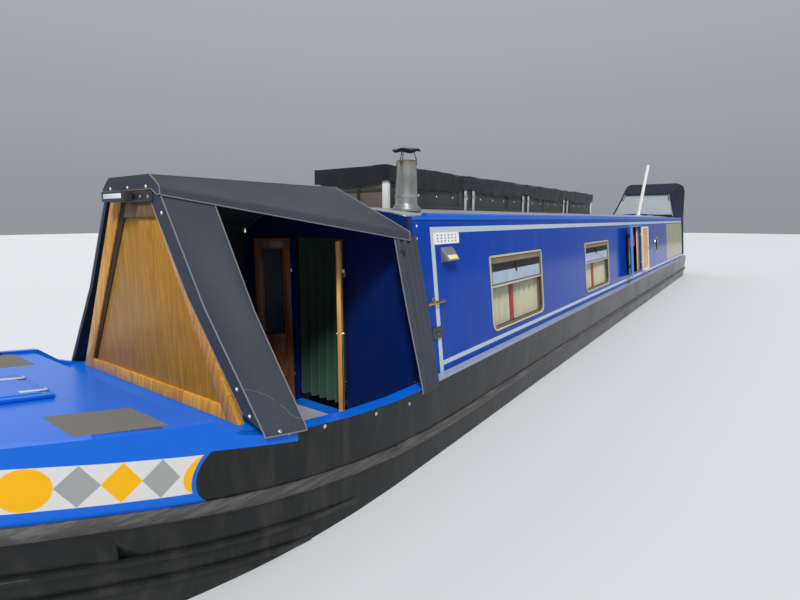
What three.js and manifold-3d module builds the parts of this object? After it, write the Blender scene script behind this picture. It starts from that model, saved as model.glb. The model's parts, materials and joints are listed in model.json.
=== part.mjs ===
// A steel canal narrowboat of about 60 ft, semi-traditional stern, moored with its side hatch and
// front doors open. Millimetres: x runs forward from mid-length, y to port, z up from under the base plate.
import * as THREE from 'three';
import { mergeVertices } from 'three/addons/utils/BufferGeometryUtils.js';
import Module from 'manifold-3d';

const wasm = await Module();
wasm.setup();

// Driving dimensions of the hull
const GAP = 0.3;
const STEM_X = 9145;
const BOW_JOINT_X = 5925;
const SWIM_START_X = -4900;
const COUNTER_X = -7900;
const STERN_X = -9145;
const CHINE_HALF = 985;
const GUNWALE_HALF = 1030;
const GUNWALE_Z = 1150;
const BASE_TOP = 20;
const COUNTER_PLATE_Z = 560;
const HULL_WALL = 60;
const BOW_WALL = 30;
const GUNWALE_THICK = 35;

// Driving dimensions of the cabin
const CABIN_FRONT_X = 5875;
const CABIN_BACK_X = -6800;
const SIDE_BACK_X = -7985;
const CABIN_FOOT_HALF = 940;
const CABIN_TOP_HALF = 830;
const CABIN_TOP_Z = 2235;
const CABIN_WALL = 50;
const ROOF_HALF = 835;
const ROOF_EDGE_Z = 2255;
const ROOF_CROWN_Z = 2335;
const BULKHEAD = 50;
const FLOOR_TOP = 200;

// Driving dimensions of the fore end
const BOARD_X = 7227;
const BOARD_THICK = 35;
const BOARD_FOOT_HALF = 820;
const BOARD_TOP_HALF = 245;
const LOCKER_X = 7180;
const CANT_X = [7380, 7500];
const CANT_RISE = 100;
const WELL_FLOOR_Z = 720;
const DECK_FLAT_Z = 1290;
const DECK_PLATE = 19;

// Driving dimensions of doors, hatches and the stern gear
const LEAF = 30;
const LEAF_EDGE = 6;
const HINGE_PROUD = 10;
const HINGE_SEAT = HINGE_PROUD + 3;
const STOCK_X = -8550;
const SHAFT_Z = 300;
const SHAFT_RADIUS = 19;
const STERN_DECK_Z = 950;
const AFT_DECK_Z = 1185;

const PORT = { name: 'port', sign: 1 };
const STARBOARD = { name: 'starboard', sign: -1 };
const SIDES = [PORT, STARBOARD];

// Finishes: colour, roughness, metalness
const FINISH = {
  blue: [0x0b2f8f, 0.25, 0.1],
  brightBlue: [0x1258d8, 0.35, 0.1],
  black: [0x15171a, 0.5, 0.2],
  strake: [0x3a3d40, 0.6, 0.3],
  grey: [0x8d9298, 0.6, 0.2],
  steel: [0xb9bcbf, 0.35, 0.9],
  wood: [0xb87333, 0.5, 0],
  darkWood: [0x4a2a18, 0.5, 0],
  canvas: [0x2a2c30, 0.9, 0],
  bronze: [0xb9a06a, 0.35, 0.8],
  brass: [0xc9a24a, 0.3, 0.9],
  white: [0xe8e8e6, 0.4, 0],
  rope: [0xb7a98a, 0.95, 0],
  engine: [0x35633c, 0.5, 0.2],
  floor: [0x6b5a45, 0.8, 0],
};

const boat = new THREE.Group();

function lerp(a, b, t) {
  return a + (b - a) * t;
}

function clamp01(t) {
  return Math.min(1, Math.max(0, t));
}

function radians(degrees) {
  return degrees * Math.PI / 180;
}

// A closed geometry becomes a solid that can be joined and cut
function solidOf(geometry) {
  const plain = geometry.clone();
  plain.deleteAttribute('normal');
  plain.deleteAttribute('uv');
  const merged = mergeVertices(plain, 1e-3);
  const mesh = new wasm.Mesh({
    numProp: 3,
    vertProperties: new Float32Array(merged.attributes.position.array),
    triVerts: new Uint32Array(merged.index.array),
  });
  return new wasm.Manifold(mesh);
}

function geometryOf(solid) {
  const mesh = solid.getMesh();
  const geometry = new THREE.BufferGeometry();
  geometry.setAttribute('position', new THREE.BufferAttribute(new Float32Array(mesh.vertProperties), 3));
  geometry.setIndex(new THREE.BufferAttribute(new Uint32Array(mesh.triVerts), 1));
  const faceted = geometry.toNonIndexed();
  faceted.computeVertexNormals();
  return faceted;
}

function join(first, ...others) {
  return others.reduce((sum, other) => sum.add(other), first);
}

function cut(first, ...others) {
  return others.reduce((rest, other) => rest.subtract(other), first);
}

function piece(name, shape, finish, parent = boat) {
  const geometry = shape.isBufferGeometry ? shape : geometryOf(shape);
  const [color, roughness, metalness] = FINISH[finish];
  const material = new THREE.MeshStandardMaterial({ color, roughness, metalness });
  const mesh = new THREE.Mesh(geometry, material);
  mesh.name = name;
  parent.add(mesh);
  return mesh;
}

function box(x, y, z) {
  const geometry = new THREE.BoxGeometry(x[1] - x[0], y[1] - y[0], z[1] - z[0]);
  geometry.translate((x[0] + x[1]) / 2, (y[0] + y[1]) / 2, (z[0] + z[1]) / 2);
  return solidOf(geometry);
}

// Axes of a prism: where the outline's two coordinates and the depth point
const PRISM_AXES = {
  x: [new THREE.Vector3(0, 1, 0), new THREE.Vector3(0, 0, 1), new THREE.Vector3(1, 0, 0)],
  y: [new THREE.Vector3(0, 0, 1), new THREE.Vector3(1, 0, 0), new THREE.Vector3(0, 1, 0)],
  z: [new THREE.Vector3(1, 0, 0), new THREE.Vector3(0, 1, 0), new THREE.Vector3(0, 0, 1)],
};

// Outline points are (y, z) along x, (z, x) along y and (x, y) along z
function prism(axis, outline, low, high, matrix = new THREE.Matrix4()) {
  const shape = new THREE.Shape(outline.map(([u, v]) => new THREE.Vector2(u, v)));
  const geometry = new THREE.ExtrudeGeometry(shape, { depth: high - low, bevelEnabled: false });
  geometry.translate(0, 0, low);
  geometry.applyMatrix4(new THREE.Matrix4().makeBasis(...PRISM_AXES[axis]));
  geometry.applyMatrix4(matrix);
  return solidOf(geometry);
}

function mirrorOutline(half) {
  const other = half.map(([y, z]) => [-y, z]).reverse();
  return [...half, ...other].filter(([y, z], i, all) => {
    const [nextY, nextZ] = all[(i + 1) % all.length];
    return Math.hypot(y - nextY, z - nextZ) > 1e-6;
  });
}

function cylinder(axis, centre, radius, low, high, sides = 24) {
  const outline = Array.from({ length: sides }, (_, i) => {
    const angle = 2 * Math.PI * i / sides;
    return [centre[0] + radius * Math.cos(angle), centre[1] + radius * Math.sin(angle)];
  });
  return prism(axis, outline, low, high);
}

function ringArea(points) {
  return points.reduce((sum, p, i) => {
    const q = points[(i + 1) % points.length];
    return sum + (p.x * q.y - q.x * p.y) / 2;
  }, 0);
}

// A cap over one end ring of a loft, on the two axes where the ring spreads most. Points in a straight
// row are set a hair off it, only here, so that the cap keeps every one of them.
function capTriangles(ring) {
  const planes = [['x', 'y'], ['y', 'z'], ['x', 'z']];
  const hair = 1e-3;
  const flats = planes.map(([a, b]) => ring.map((p, i) => new THREE.Vector2(
    p[a] + hair * Math.cos(2.4 * i), p[b] + hair * Math.sin(2.4 * i))));
  const flat = flats.reduce((best, f) => (Math.abs(ringArea(f)) > Math.abs(ringArea(best)) ? f : best));
  const turn = Math.sign(ringArea(flat));
  return THREE.ShapeUtils.triangulateShape(flat, []).map(([a, b, c]) => {
    const area = ringArea([flat[a], flat[b], flat[c]]);
    return Math.sign(area) === turn ? [a, b, c] : [a, c, b];
  });
}

// A solid through rings of equal point counts; each ring is a list of [x, y, z]
function loft(rings) {
  const points = rings.map((ring) => ring.map((p) => new THREE.Vector3(...p)));
  const count = points[0].length;
  const index = [];
  for (let i = 0; i < points.length - 1; i += 1) {
    for (let j = 0; j < count; j += 1) {
      const a = i * count + j;
      const b = i * count + (j + 1) % count;
      index.push(a, b, b + count, a, b + count, a + count);
    }
  }
  const last = (points.length - 1) * count;
  capTriangles(points[0]).forEach(([a, b, c]) => index.push(a, c, b));
  capTriangles(points[points.length - 1]).forEach(([a, b, c]) => index.push(last + a, last + b, last + c));
  const flat = points.flat();
  const volume = index.reduce((sum, _, i) => {
    if (i % 3) return sum;
    const [p, q, r] = [flat[index[i]], flat[index[i + 1]], flat[index[i + 2]]];
    return sum + p.dot(new THREE.Vector3().crossVectors(q, r));
  }, 0);
  if (volume < 0) index.reverse();
  const geometry = new THREE.BufferGeometry();
  geometry.setAttribute('position', new THREE.Float32BufferAttribute(flat.flatMap((p) => p.toArray()), 3));
  geometry.setIndex(index);
  return solidOf(geometry);
}

function mirrored(ring, sign) {
  return ring.map(([x, y, z]) => [x, sign * y, z]);
}

// The hull's lines

// Height of the hull's top edge
function sheer(x) {
  if (x > BOW_JOINT_X) {
    const curved = Math.min(x, 7400) - BOW_JOINT_X;
    const straight = Math.max(0, x - 7400);
    return GUNWALE_Z + 7.35e-5 * curved ** 2 + 0.15 * straight;
  }
  const aft = Math.max(0, SIDE_BACK_X - 5 - x) / (SIDE_BACK_X - STERN_X);
  return GUNWALE_Z + 60 * aft ** 2;
}

// The fore deck is raised above the gunwale by a short sloping step
function cant(x) {
  return CANT_RISE * clamp01((x - CANT_X[0]) / (CANT_X[1] - CANT_X[0]));
}

function sideHalf(z) {
  return lerp(CHINE_HALF, GUNWALE_HALF, Math.min(1, z / GUNWALE_Z));
}

const BOW_TOP_Z = 1670;

function stemX(z) {
  return 8620 + 525 * Math.min(1, z / BOW_TOP_Z) ** 0.6;
}

function bowHalf(x, z) {
  const rise = Math.min(1, z / BOW_TOP_Z);
  const start = lerp(BOW_JOINT_X, 6000, rise);
  const power = lerp(2.0, 4.4, rise);
  const t = clamp01((x - start) / (stemX(z) - start));
  return sideHalf(z) * (1 - t ** power);
}

// A point on the bow, u from the joint (0) to the stem (1), with its outward direction in plan
function bowPoint(u, z) {
  const x = lerp(BOW_JOINT_X, stemX(z), u);
  const step = 2;
  const slope = (bowHalf(x + step, z) - bowHalf(x - step, z)) / (2 * step);
  const length = Math.hypot(slope, 1);
  return { x, y: bowHalf(x, z), z, nx: -slope / length, ny: 1 / length };
}

const COUNTER_POWER = 2.4;

// A point on the rounded counter, phi from the straight side (0) to the stern's middle (90)
function counterPoint(phi, z) {
  const angle = radians(phi);
  const half = sideHalf(z);
  const rise = clamp01((z - COUNTER_PLATE_Z) / (GUNWALE_Z - COUNTER_PLATE_Z));
  const reach = lerp(1165, COUNTER_X - STERN_X, rise);
  const along = Math.sin(angle) ** (2 / COUNTER_POWER);
  const across = Math.cos(angle) ** (2 / COUNTER_POWER);
  const nx = -(along ** (COUNTER_POWER - 1)) / reach;
  const ny = across ** (COUNTER_POWER - 1) / half;
  const length = Math.hypot(nx, ny);
  return { x: COUNTER_X - reach * along, y: half * across, z, nx: nx / length, ny: ny / length };
}

function inward(p, distance, z = p.z) {
  const half = Math.max(GAP / 2 + 0.05, p.y - p.ny * distance);
  return [p.x - p.nx * distance, half, z];
}

const BOW_STATIONS = [0, 0.12, 0.24, 0.35, 0.42, 0.46, 0.49, 0.55, 0.62, 0.7, 0.78, 0.85, 0.91, 0.95, 0.975];
const BOW_LEVELS = [0, 0.22, 0.46, 0.72, 1];
const COUNTER_STATIONS = [0, 6, 15, 27, 40, 53, 65, 76, 84, 90];
const HULL_BOTTOM = BASE_TOP + GAP;

function bowLevels(u) {
  const topX = lerp(BOW_JOINT_X, STEM_X, u);
  const top = sheer(topX) + cant(topX);
  return BOW_LEVELS.map((level) => lerp(HULL_BOTTOM, top, level));
}

// One bow ring: up the outside, in over the gunwale, down the inside
function bowRing(u, grow) {
  const levels = bowLevels(u);
  const outer = levels.map((z) => bowPoint(u, z));
  const top = outer[outer.length - 1];
  const deckWidth = lerp(100, 45, clamp01((u - 0.4) / 0.1));
  const under = top.z - GUNWALE_THICK;
  const ring = outer.map((p) => inward(p, -grow));
  ring.push(inward(top, deckWidth), inward(top, deckWidth, under), inward(top, BOW_WALL, under));
  outer.slice(0, -1).reverse().forEach((p) => ring.push(inward(p, BOW_WALL)));
  return ring;
}

function bowSide(sign, grow = 0) {
  return loft(BOW_STATIONS.map((u) => mirrored(bowRing(u, grow), sign)));
}

function straightSide(sign, grow = 0) {
  const inner = CABIN_FOOT_HALF - CABIN_WALL;
  const outline = [
    [sideHalf(HULL_BOTTOM) + grow, HULL_BOTTOM],
    [GUNWALE_HALF + grow, GUNWALE_Z],
    [inner, GUNWALE_Z],
    [inner, GUNWALE_Z - GUNWALE_THICK],
    [GUNWALE_HALF - HULL_WALL, GUNWALE_Z - GUNWALE_THICK],
    [sideHalf(HULL_BOTTOM) - HULL_WALL, HULL_BOTTOM],
  ].map(([y, z]) => [sign * y, z]);
  const reach = grow > 0 ? 5 : -GAP;
  return prism('x', outline, SWIM_START_X - reach, BOW_JOINT_X + reach);
}

function counterRing(phi, x, grow) {
  const low = { ...counterPoint(phi, COUNTER_PLATE_Z + BASE_TOP + GAP) };
  const high = { ...counterPoint(phi, GUNWALE_Z) };
  if (x !== undefined) {
    low.x = x;
    high.x = x;
  }
  high.z = sheer(high.x);
  const under = high.z - GUNWALE_THICK;
  const deckWidth = lerp(GUNWALE_HALF - CABIN_FOOT_HALF + CABIN_WALL, 90, clamp01(phi / 15));
  return [
    inward(low, -grow), inward(high, -grow),
    inward(high, deckWidth), inward(high, deckWidth, under),
    inward(high, HULL_WALL, under), inward(low, HULL_WALL),
  ];
}

function counterSide(sign, grow = 0) {
  const rounded = COUNTER_STATIONS.map((phi) => counterRing(phi, undefined, grow));
  const rings = [counterRing(0, SWIM_START_X, grow), ...rounded];
  return loft(rings.map((ring) => mirrored(ring, sign)));
}

// The underwater stern narrows to the stern post
const SWIM_END_X = -8020;
const POST_HALF = 30;
const SWIM_STATIONS = Array.from({ length: 13 }, (_, i) => i / 12);

function swimHalf(t) {
  return POST_HALF + (CHINE_HALF - POST_HALF) * (1 - t ** 1.7);
}

function swimOutline(offset) {
  return SWIM_STATIONS.map((t) => [lerp(SWIM_START_X, SWIM_END_X, t), swimHalf(t) - offset]);
}

// Base plate, its outline the chine with the swim behind and the bow in front
const bowChine = BOW_STATIONS.map((u) => bowPoint(u, 0)).map((p) => [p.x, p.y]);
const plateHalf = [...swimOutline(0).reverse(), ...bowChine];
const plateOutline = [...plateHalf, ...plateHalf.map(([x, y]) => [x, -y]).reverse()];
piece('base_plate', prism('z', plateOutline, 0, BASE_TOP), 'black');

// Hull sides, bow, counter and swim, port and starboard. The rubbing strakes are cut to the hull's facets.
const STRAKE_HEIGHT = 70;
const STRAKE_PROUD = 25;

function mainStrakeTop(x) {
  const curved = Math.max(0, Math.min(x, 8000) - 5500);
  const straight = Math.max(0, x - 8000);
  const aft = Math.max(0, COUNTER_X - x) / (COUNTER_X - STERN_X);
  return 835 + 5.65e-5 * curved ** 2 + 0.2 * straight + 45 * aft ** 2;
}

// Ring of a D-section strip whose back is buried in the hull
function strakeRing(pointAt, top, height, proud) {
  const rows = [[0, -8], [height, -8], [height, proud * 0.35], [height * 0.72, proud], [height * 0.28, proud],
    [0, proud * 0.35]];
  return rows.map(([up, out]) => {
    const p = pointAt(top - height + up);
    return inward(p, -out);
  });
}

function bowStrakeRing(u, drop, height, proud) {
  const x = lerp(BOW_JOINT_X, STEM_X, u);
  return strakeRing((z) => bowPoint(u, z), mainStrakeTop(x) - drop, height, proud);
}

const STRAKE_STATIONS = [...BOW_STATIONS.slice(0, -1), 0.968];

function mainStrake(sign) {
  const bow = STRAKE_STATIONS.slice().reverse().map((u) => bowStrakeRing(u, 0, STRAKE_HEIGHT, STRAKE_PROUD));
  const middle = [5500, SWIM_START_X].map((x) => strakeRing(
    (z) => ({ x, y: sideHalf(z), z, nx: 0, ny: 1 }), mainStrakeTop(x), STRAKE_HEIGHT, STRAKE_PROUD));
  const stern = COUNTER_STATIONS.map((phi) => {
    const x = counterPoint(phi, GUNWALE_Z).x;
    return strakeRing((z) => counterPoint(phi, z), mainStrakeTop(x), STRAKE_HEIGHT, STRAKE_PROUD);
  });
  const rings = [...bow, ...middle, ...stern].map((ring) => mirrored(ring, sign));
  return loft(rings);
}

// Two short strakes low on the bow: drop below the main one, and the station they start from
const LOW_STRAKES = [
  { drop: 215, start: 0.24 },
  { drop: 340, start: 0.35 },
];

// The strake on the bow is a length of its own
const STRAKE_SPLIT_X = 6300;
const strakeLengths = [
  ['bow_strake', [STRAKE_SPLIT_X + GAP, STEM_X + 100]],
  ['rubbing_strake', [STERN_X - 100, STRAKE_SPLIT_X]],
];

for (const { name, sign } of SIDES) {
  const lowStrakes = LOW_STRAKES.map(({ drop, start }) => {
    const stations = STRAKE_STATIONS.filter((u) => u >= start);
    return loft(stations.map((u) => mirrored(bowStrakeRing(u, drop, 45, u === start ? 4 : 20), sign)));
  });
  piece(`hull_side_${name}`, straightSide(sign), 'black');
  piece(`bow_side_${name}`, join(bowSide(sign), ...lowStrakes), 'black');
  piece(`counter_side_${name}`, counterSide(sign), 'black');
  const strake = cut(mainStrake(sign), bowSide(sign, GAP), straightSide(sign, GAP), counterSide(sign, GAP));
  for (const [length, x] of strakeLengths) {
    piece(`${length}_${name}`, strake.intersect(box(x, [-1200, 1200], [600, 1600])), 'strake');
  }
  const swim = [...swimOutline(0), ...swimOutline(BOW_WALL).reverse()]
    .map(([x, y]) => [x, sign * Math.max(y, GAP)]);
  const shaftWay = cylinder('x', [0, SHAFT_Z], SHAFT_RADIUS + 3, -8100, -7600);
  piece(`swim_${name}`, cut(prism('z', swim, HULL_BOTTOM, COUNTER_PLATE_Z - GAP), shaftWay), 'black');
}

// Stem: the solid nose between the two bow sides
const noseStation = BOW_STATIONS[BOW_STATIONS.length - 1];
const noseRings = bowLevels(noseStation).map((z) => {
  const root = bowPoint(noseStation, z);
  const tip = stemX(z);
  const shoulder = lerp(root.x, tip, 0.75);
  const half = [[root.x + 0.5, root.y], [shoulder, root.y * 0.45], [tip, 8]];
  return [...half, ...half.map(([x, y]) => [x, -y]).reverse()].map(([x, y]) => [x, y, z]);
});
piece('stem_post', loft(noseRings), 'black');

// Counter plate over the propeller, with the rudder tube welded in it
const TUBE_RADIUS = 32;
const TUBE_BORE = 22;
const COUNTER_TOP = COUNTER_PLATE_Z + BASE_TOP;
const counterEdge = [[SWIM_START_X, sideHalf(COUNTER_PLATE_Z)],
  ...COUNTER_STATIONS.map((phi) => counterPoint(phi, COUNTER_PLATE_Z)).map((p) => [p.x, Math.max(p.y, 0)])];
const counterOutline = [...counterEdge, ...counterEdge.slice(0, -1).map(([x, y]) => [x, -y]).reverse()];
const swimInside = swimOutline(BOW_WALL).map(([x, y]) => [x, Math.max(y, 1)]);
const swimHole = [[SWIM_START_X + 50, swimInside[0][1]], ...swimInside];
const swimHoleOutline = [...swimHole, ...swimHole.map(([x, y]) => [x, -y]).reverse()];
const counterPlate = cut(
  join(prism('z', counterOutline, COUNTER_PLATE_Z, COUNTER_TOP),
    cylinder('z', [STOCK_X, 0], TUBE_RADIUS, COUNTER_PLATE_Z, AFT_DECK_Z + 12)),
  prism('z', swimHoleOutline, COUNTER_PLATE_Z - 10, COUNTER_TOP + 10),
  cylinder('z', [STOCK_X, 0], TUBE_BORE, COUNTER_PLATE_Z - 10, AFT_DECK_Z + 30));
piece('counter_plate', counterPlate, 'black');

// Stern post with its shaft boss, and the skeg that carries the rudder's foot
const SKEG_TOP = 60;
const sternPost = cut(
  join(
    box([-8085, SWIM_END_X - GAP], [-POST_HALF, POST_HALF], [HULL_BOTTOM, COUNTER_PLATE_Z - GAP]),
    cylinder('x', [0, SHAFT_Z], 48, -8088, SWIM_END_X - GAP),
    box([-8620, -8030], [-POST_HALF, POST_HALF], [HULL_BOTTOM, SKEG_TOP]),
    cylinder('z', [STOCK_X, 0], 34, HULL_BOTTOM, SKEG_TOP + 22)),
  cylinder('x', [0, SHAFT_Z], SHAFT_RADIUS + 0.6, -8200, -7900),
  cylinder('z', [STOCK_X, 0], 20, SKEG_TOP, SKEG_TOP + 60));
piece('stern_post', sternPost, 'black');

// Propeller with its shaft
const PROPELLER_X = -8165;
const bladeOutline = [[26, -30], [90, -78], [165, -72], [210, -30], [215, 5], [190, 48], [120, 62], [26, 30]];
const blade = new THREE.Shape(bladeOutline.map(([r, w]) => new THREE.Vector2(r, w)));
function bladeSolid(turn) {
  const geometry = new THREE.ExtrudeGeometry(blade, { depth: 12, bevelEnabled: false });
  geometry.translate(0, 0, -6);
  geometry.rotateX(radians(28));
  geometry.applyMatrix4(new THREE.Matrix4().makeBasis(
    new THREE.Vector3(0, 0, 1), new THREE.Vector3(0, -1, 0), new THREE.Vector3(1, 0, 0)));
  geometry.rotateX(radians(turn));
  geometry.translate(PROPELLER_X, 0, SHAFT_Z);
  return solidOf(geometry);
}
const propeller = join(
  cylinder('x', [0, SHAFT_Z], SHAFT_RADIUS, -8240, -7450),
  cylinder('x', [0, SHAFT_Z], 45, -8215, -8100),
  bladeSolid(0), bladeSolid(120), bladeSolid(240));
piece('propeller', propeller, 'brass');

// Rudder: stock, blade and, above the deck, the swan neck that takes the tiller
const rudder = join(
  cylinder('z', [STOCK_X, 0], SHAFT_RADIUS, SKEG_TOP + 0.4, 1215),
  box([-8970, -8390], [-8, 8], [95, 530]));
piece('rudder', rudder, 'black');
const neckPath = new THREE.CatmullRomCurve3([
  [0, 0, 1215.3], [0, 0, 1330], [-85, 0, 1560], [-130, 0, 1780], [-60, 0, 1930], [70, 0, 1965],
].map(([x, y, z]) => new THREE.Vector3(STOCK_X + x, y, z)));
const neckSection = new THREE.Shape(Array.from({ length: 10 }, (_, i) => new THREE.Vector2(
  20 * Math.cos(i * Math.PI / 5), 20 * Math.sin(i * Math.PI / 5))));
const neckSweep = { steps: 20, extrudePath: neckPath, bevelEnabled: false };
const neck = new THREE.ExtrudeGeometry(neckSection, neckSweep);
piece('swan_neck', solidOf(neck), 'brass');

// Engine, one plain block on its bearers
piece('engine', join(
  box([-7380, -6900], [-240, 240], [150, 760]),
  box([-7420, -6860], [-230, -170], [HULL_BOTTOM, 160]),
  box([-7420, -6860], [170, 230], [HULL_BOTTOM, 160])), 'engine');

// Decks. The cabin floor is one solid with its bearers and ballast, and narrows aft between the swims.
const FLOOR_BACK_X = CABIN_BACK_X + BULKHEAD + GAP;
const floorHalf = sideHalf(HULL_BOTTOM) - HULL_WALL - 4;
const floorSwim = swimOutline(BOW_WALL + 4).map(([x, y]) => [x, Math.min(y, floorHalf)]);
const floorBack = floorSwim.findIndex(([x]) => x < FLOOR_BACK_X);
const [[nearX, nearY], [farX, farY]] = floorSwim.slice(floorBack - 1, floorBack + 1);
const floorBackHalf = lerp(nearY, farY, (FLOOR_BACK_X - nearX) / (farX - nearX));
const floorEdge = [
  [CABIN_FRONT_X - GAP, floorHalf],
  ...floorSwim.slice(1, floorBack),
  [FLOOR_BACK_X, floorBackHalf],
];
const floorOutline = [...floorEdge, ...floorEdge.map(([x, y]) => [x, -y]).reverse()];
piece('cabin_floor', prism('z', floorOutline, HULL_BOTTOM, FLOOR_TOP), 'floor');

function innerBowHalf(x, z, clearance) {
  const u = (x - BOW_JOINT_X) / (stemX(z) - BOW_JOINT_X);
  const p = bowPoint(u, z);
  return p.y - BOW_WALL / p.ny - clearance;
}

function deckLoft(stations, halfAt, topAt, thick) {
  return loft(stations.map((x) => {
    const half = halfAt(x);
    const top = topAt(x);
    return [[x, -half, top - thick], [x, half, top - thick], [x, half, top], [x, -half, top]];
  }));
}

const wellStations = [BOW_JOINT_X + GAP, 6300, 6700, LOCKER_X - GAP];
const wellHalf = (x) => innerBowHalf(x, WELL_FLOOR_Z - 25, 6);
const wellFloor = deckLoft(wellStations, wellHalf, () => WELL_FLOOR_Z, 25);
piece('well_deck', wellFloor, 'grey');

// Locker bulkhead under the fore deck, then the deck with its lid opening and mooring stud
const LOCKER_BULKHEAD_TOP = DECK_FLAT_Z - DECK_PLATE - 0.5;
const lockerRows = [HULL_BOTTOM, 500, 900, LOCKER_BULKHEAD_TOP - 35, LOCKER_BULKHEAD_TOP];
const lockerHalf = lockerRows.map((z, i) => [
  i < 3 ? innerBowHalf(LOCKER_X + 20, z, 8) : innerBowHalf(LOCKER_X + 20, z, 8) - 70, z]);
piece('locker_bulkhead', prism('x', mirrorOutline(lockerHalf), LOCKER_X, LOCKER_X + 20), 'brightBlue');

function deckTop(x) {
  if (x <= CANT_X[0]) return DECK_FLAT_Z;
  return Math.max(DECK_FLAT_Z, sheer(x) + cant(x) - 12);
}

// The inner edge of the bow's gunwale, as facets between the stations, then out along the end that meets the stem
const gunwaleEnd = bowRing(noseStation, 0)[BOW_LEVELS.length - 1];
const GUNWALE_EDGE = [...BOW_STATIONS.map((u) => bowRing(u, 0)[BOW_LEVELS.length]), gunwaleEnd]
  .map(([x, y]) => [x, y]);

function deckHalf(x) {
  const next = GUNWALE_EDGE.findIndex(([edgeX]) => edgeX >= x);
  const [[x0, y0], [x1, y1]] = [GUNWALE_EDGE[next - 1], GUNWALE_EDGE[next]];
  return lerp(y0, y1, (x - x0) / (x1 - x0)) - 1.5;
}

// The deck runs from the locker to just short of the stem's root at the height of the plate's underside
const stemRoot = bowPoint(noseStation, deckTop(gunwaleEnd[0]) - DECK_PLATE).x;
const DECK_X = [LOCKER_X, stemRoot - 4];
const deckBends = [...CANT_X, ...GUNWALE_EDGE.map(([x]) => x)].sort((a, b) => a - b);
const deckInside = deckBends.filter((x) => x > DECK_X[0] + 5 && x < DECK_X[1] - 5);
const deckStations = [DECK_X[0], ...deckInside, DECK_X[1]];
const LID_X = [7780, 8180];
const LID_HALF = 230;
const bollard = (x, y, z) => join(
  cylinder('z', [x, y], 30, z - 5, z + 95, 12),
  cylinder('z', [x, y], 46, z + 80, z + 100, 12));
const studZ = deckTop(8640) - 20;
const foreDeck = join(
  cut(deckLoft(deckStations, deckHalf, deckTop, DECK_PLATE),
    box([LID_X[0] + 40, LID_X[1] - 40], [-LID_HALF + 40, LID_HALF - 40], [1200, 1700])),
  cylinder('z', [8640, 0], 24, studZ, studZ + 130, 12),
  cylinder('y', [studZ + 100, 8640], 18, -95, 95, 12));
piece('fore_deck', foreDeck, 'brightBlue');

const lidRings = LID_X.map((x) => {
  const low = deckTop(x) + 0.5;
  return [[x, -LID_HALF, low], [x, LID_HALF, low], [x, LID_HALF, low + 22], [x, -LID_HALF, low + 22]];
});
piece('locker_lid', loft(lidRings), 'brightBlue');

// Stern decks: boards over the engine, then the counter deck with its riser and bollards
const BOARDS_HALF = 955;
piece('stern_deck', box([SIDE_BACK_X + 25, CABIN_BACK_X - GAP], [-BOARDS_HALF, BOARDS_HALF],
  [STERN_DECK_Z - 25, STERN_DECK_Z]), 'grey');
const aftDeckEdge = COUNTER_STATIONS.slice(1, 9).map((phi) => {
  const [x, y] = inward(counterPoint(phi, GUNWALE_Z), 92);
  return [x, y];
});
const aftDeckHalf = [
  [SIDE_BACK_X - GAP, aftDeckEdge[0][1]],
  ...aftDeckEdge.filter(([x]) => x < SIDE_BACK_X - 20),
];
const aftDeckOutline = [...aftDeckHalf, ...aftDeckHalf.map(([x, y]) => [x, -y]).reverse()];
const riserHalf = 900;
const aftDeck = cut(
  join(prism('z', aftDeckOutline, AFT_DECK_Z - 20, AFT_DECK_Z),
    box([SIDE_BACK_X - 10, SIDE_BACK_X + 10], [-820, 820], [GUNWALE_Z - 100, AFT_DECK_Z]),
    box([SIDE_BACK_X - 10, SIDE_BACK_X + 10], [-riserHalf, riserHalf],
      [COUNTER_TOP + GAP, GUNWALE_Z - GUNWALE_THICK - 5]),
    bollard(-8640, 600, AFT_DECK_Z), bollard(-8640, -600, AFT_DECK_Z)),
  cylinder('z', [STOCK_X, 0], TUBE_RADIUS + GAP, AFT_DECK_Z - 50, AFT_DECK_Z + 50));
piece('aft_deck', aftDeck, 'brightBlue');

// The cabin

function roofZ(y) {
  return ROOF_CROWN_Z - (ROOF_CROWN_Z - ROOF_EDGE_Z) * (y / ROOF_HALF) ** 2;
}

const ROOF_FACETS = Array.from({ length: 11 }, (_, i) => lerp(-ROOF_HALF, ROOF_HALF, i / 10));

// Points along the roof's top facets between two places, lifted by a height
function roofLine(low, high, lift) {
  const at = (y) => {
    const i = Math.min(9, Math.max(0, Math.floor((y + ROOF_HALF) / (2 * ROOF_HALF) * 10)));
    const t = (y - ROOF_FACETS[i]) / (ROOF_FACETS[i + 1] - ROOF_FACETS[i]);
    return lerp(roofZ(ROOF_FACETS[i]), roofZ(ROOF_FACETS[i + 1]), t);
  };
  const inside = ROOF_FACETS.filter((y) => y > low + 1 && y < high - 1);
  return [low, ...inside, high].map((y) => [y, at(y) + lift]);
}

function cabinHalf(z) {
  return lerp(CABIN_FOOT_HALF, CABIN_TOP_HALF, (z - GUNWALE_Z) / (CABIN_TOP_Z - GUNWALE_Z));
}

// A frame that lies on a cabin side: u along it, v up the slope, w outwards, from the gunwale up
const SIDE_LEAN = Math.atan2(CABIN_FOOT_HALF - CABIN_TOP_HALF, CABIN_TOP_Z - GUNWALE_Z);

function sideMatrix(x, sign) {
  const up = new THREE.Vector3(0, -sign * Math.sin(SIDE_LEAN), Math.cos(SIDE_LEAN));
  const out = new THREE.Vector3(0, sign * Math.cos(SIDE_LEAN), Math.sin(SIDE_LEAN));
  const along = new THREE.Vector3(-sign, 0, 0);
  const matrix = new THREE.Matrix4().makeBasis(along, up, out);
  return matrix.setPosition(x, sign * CABIN_FOOT_HALF, GUNWALE_Z);
}

function upSlope(z) {
  return (z - GUNWALE_Z) / Math.cos(SIDE_LEAN);
}

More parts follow.
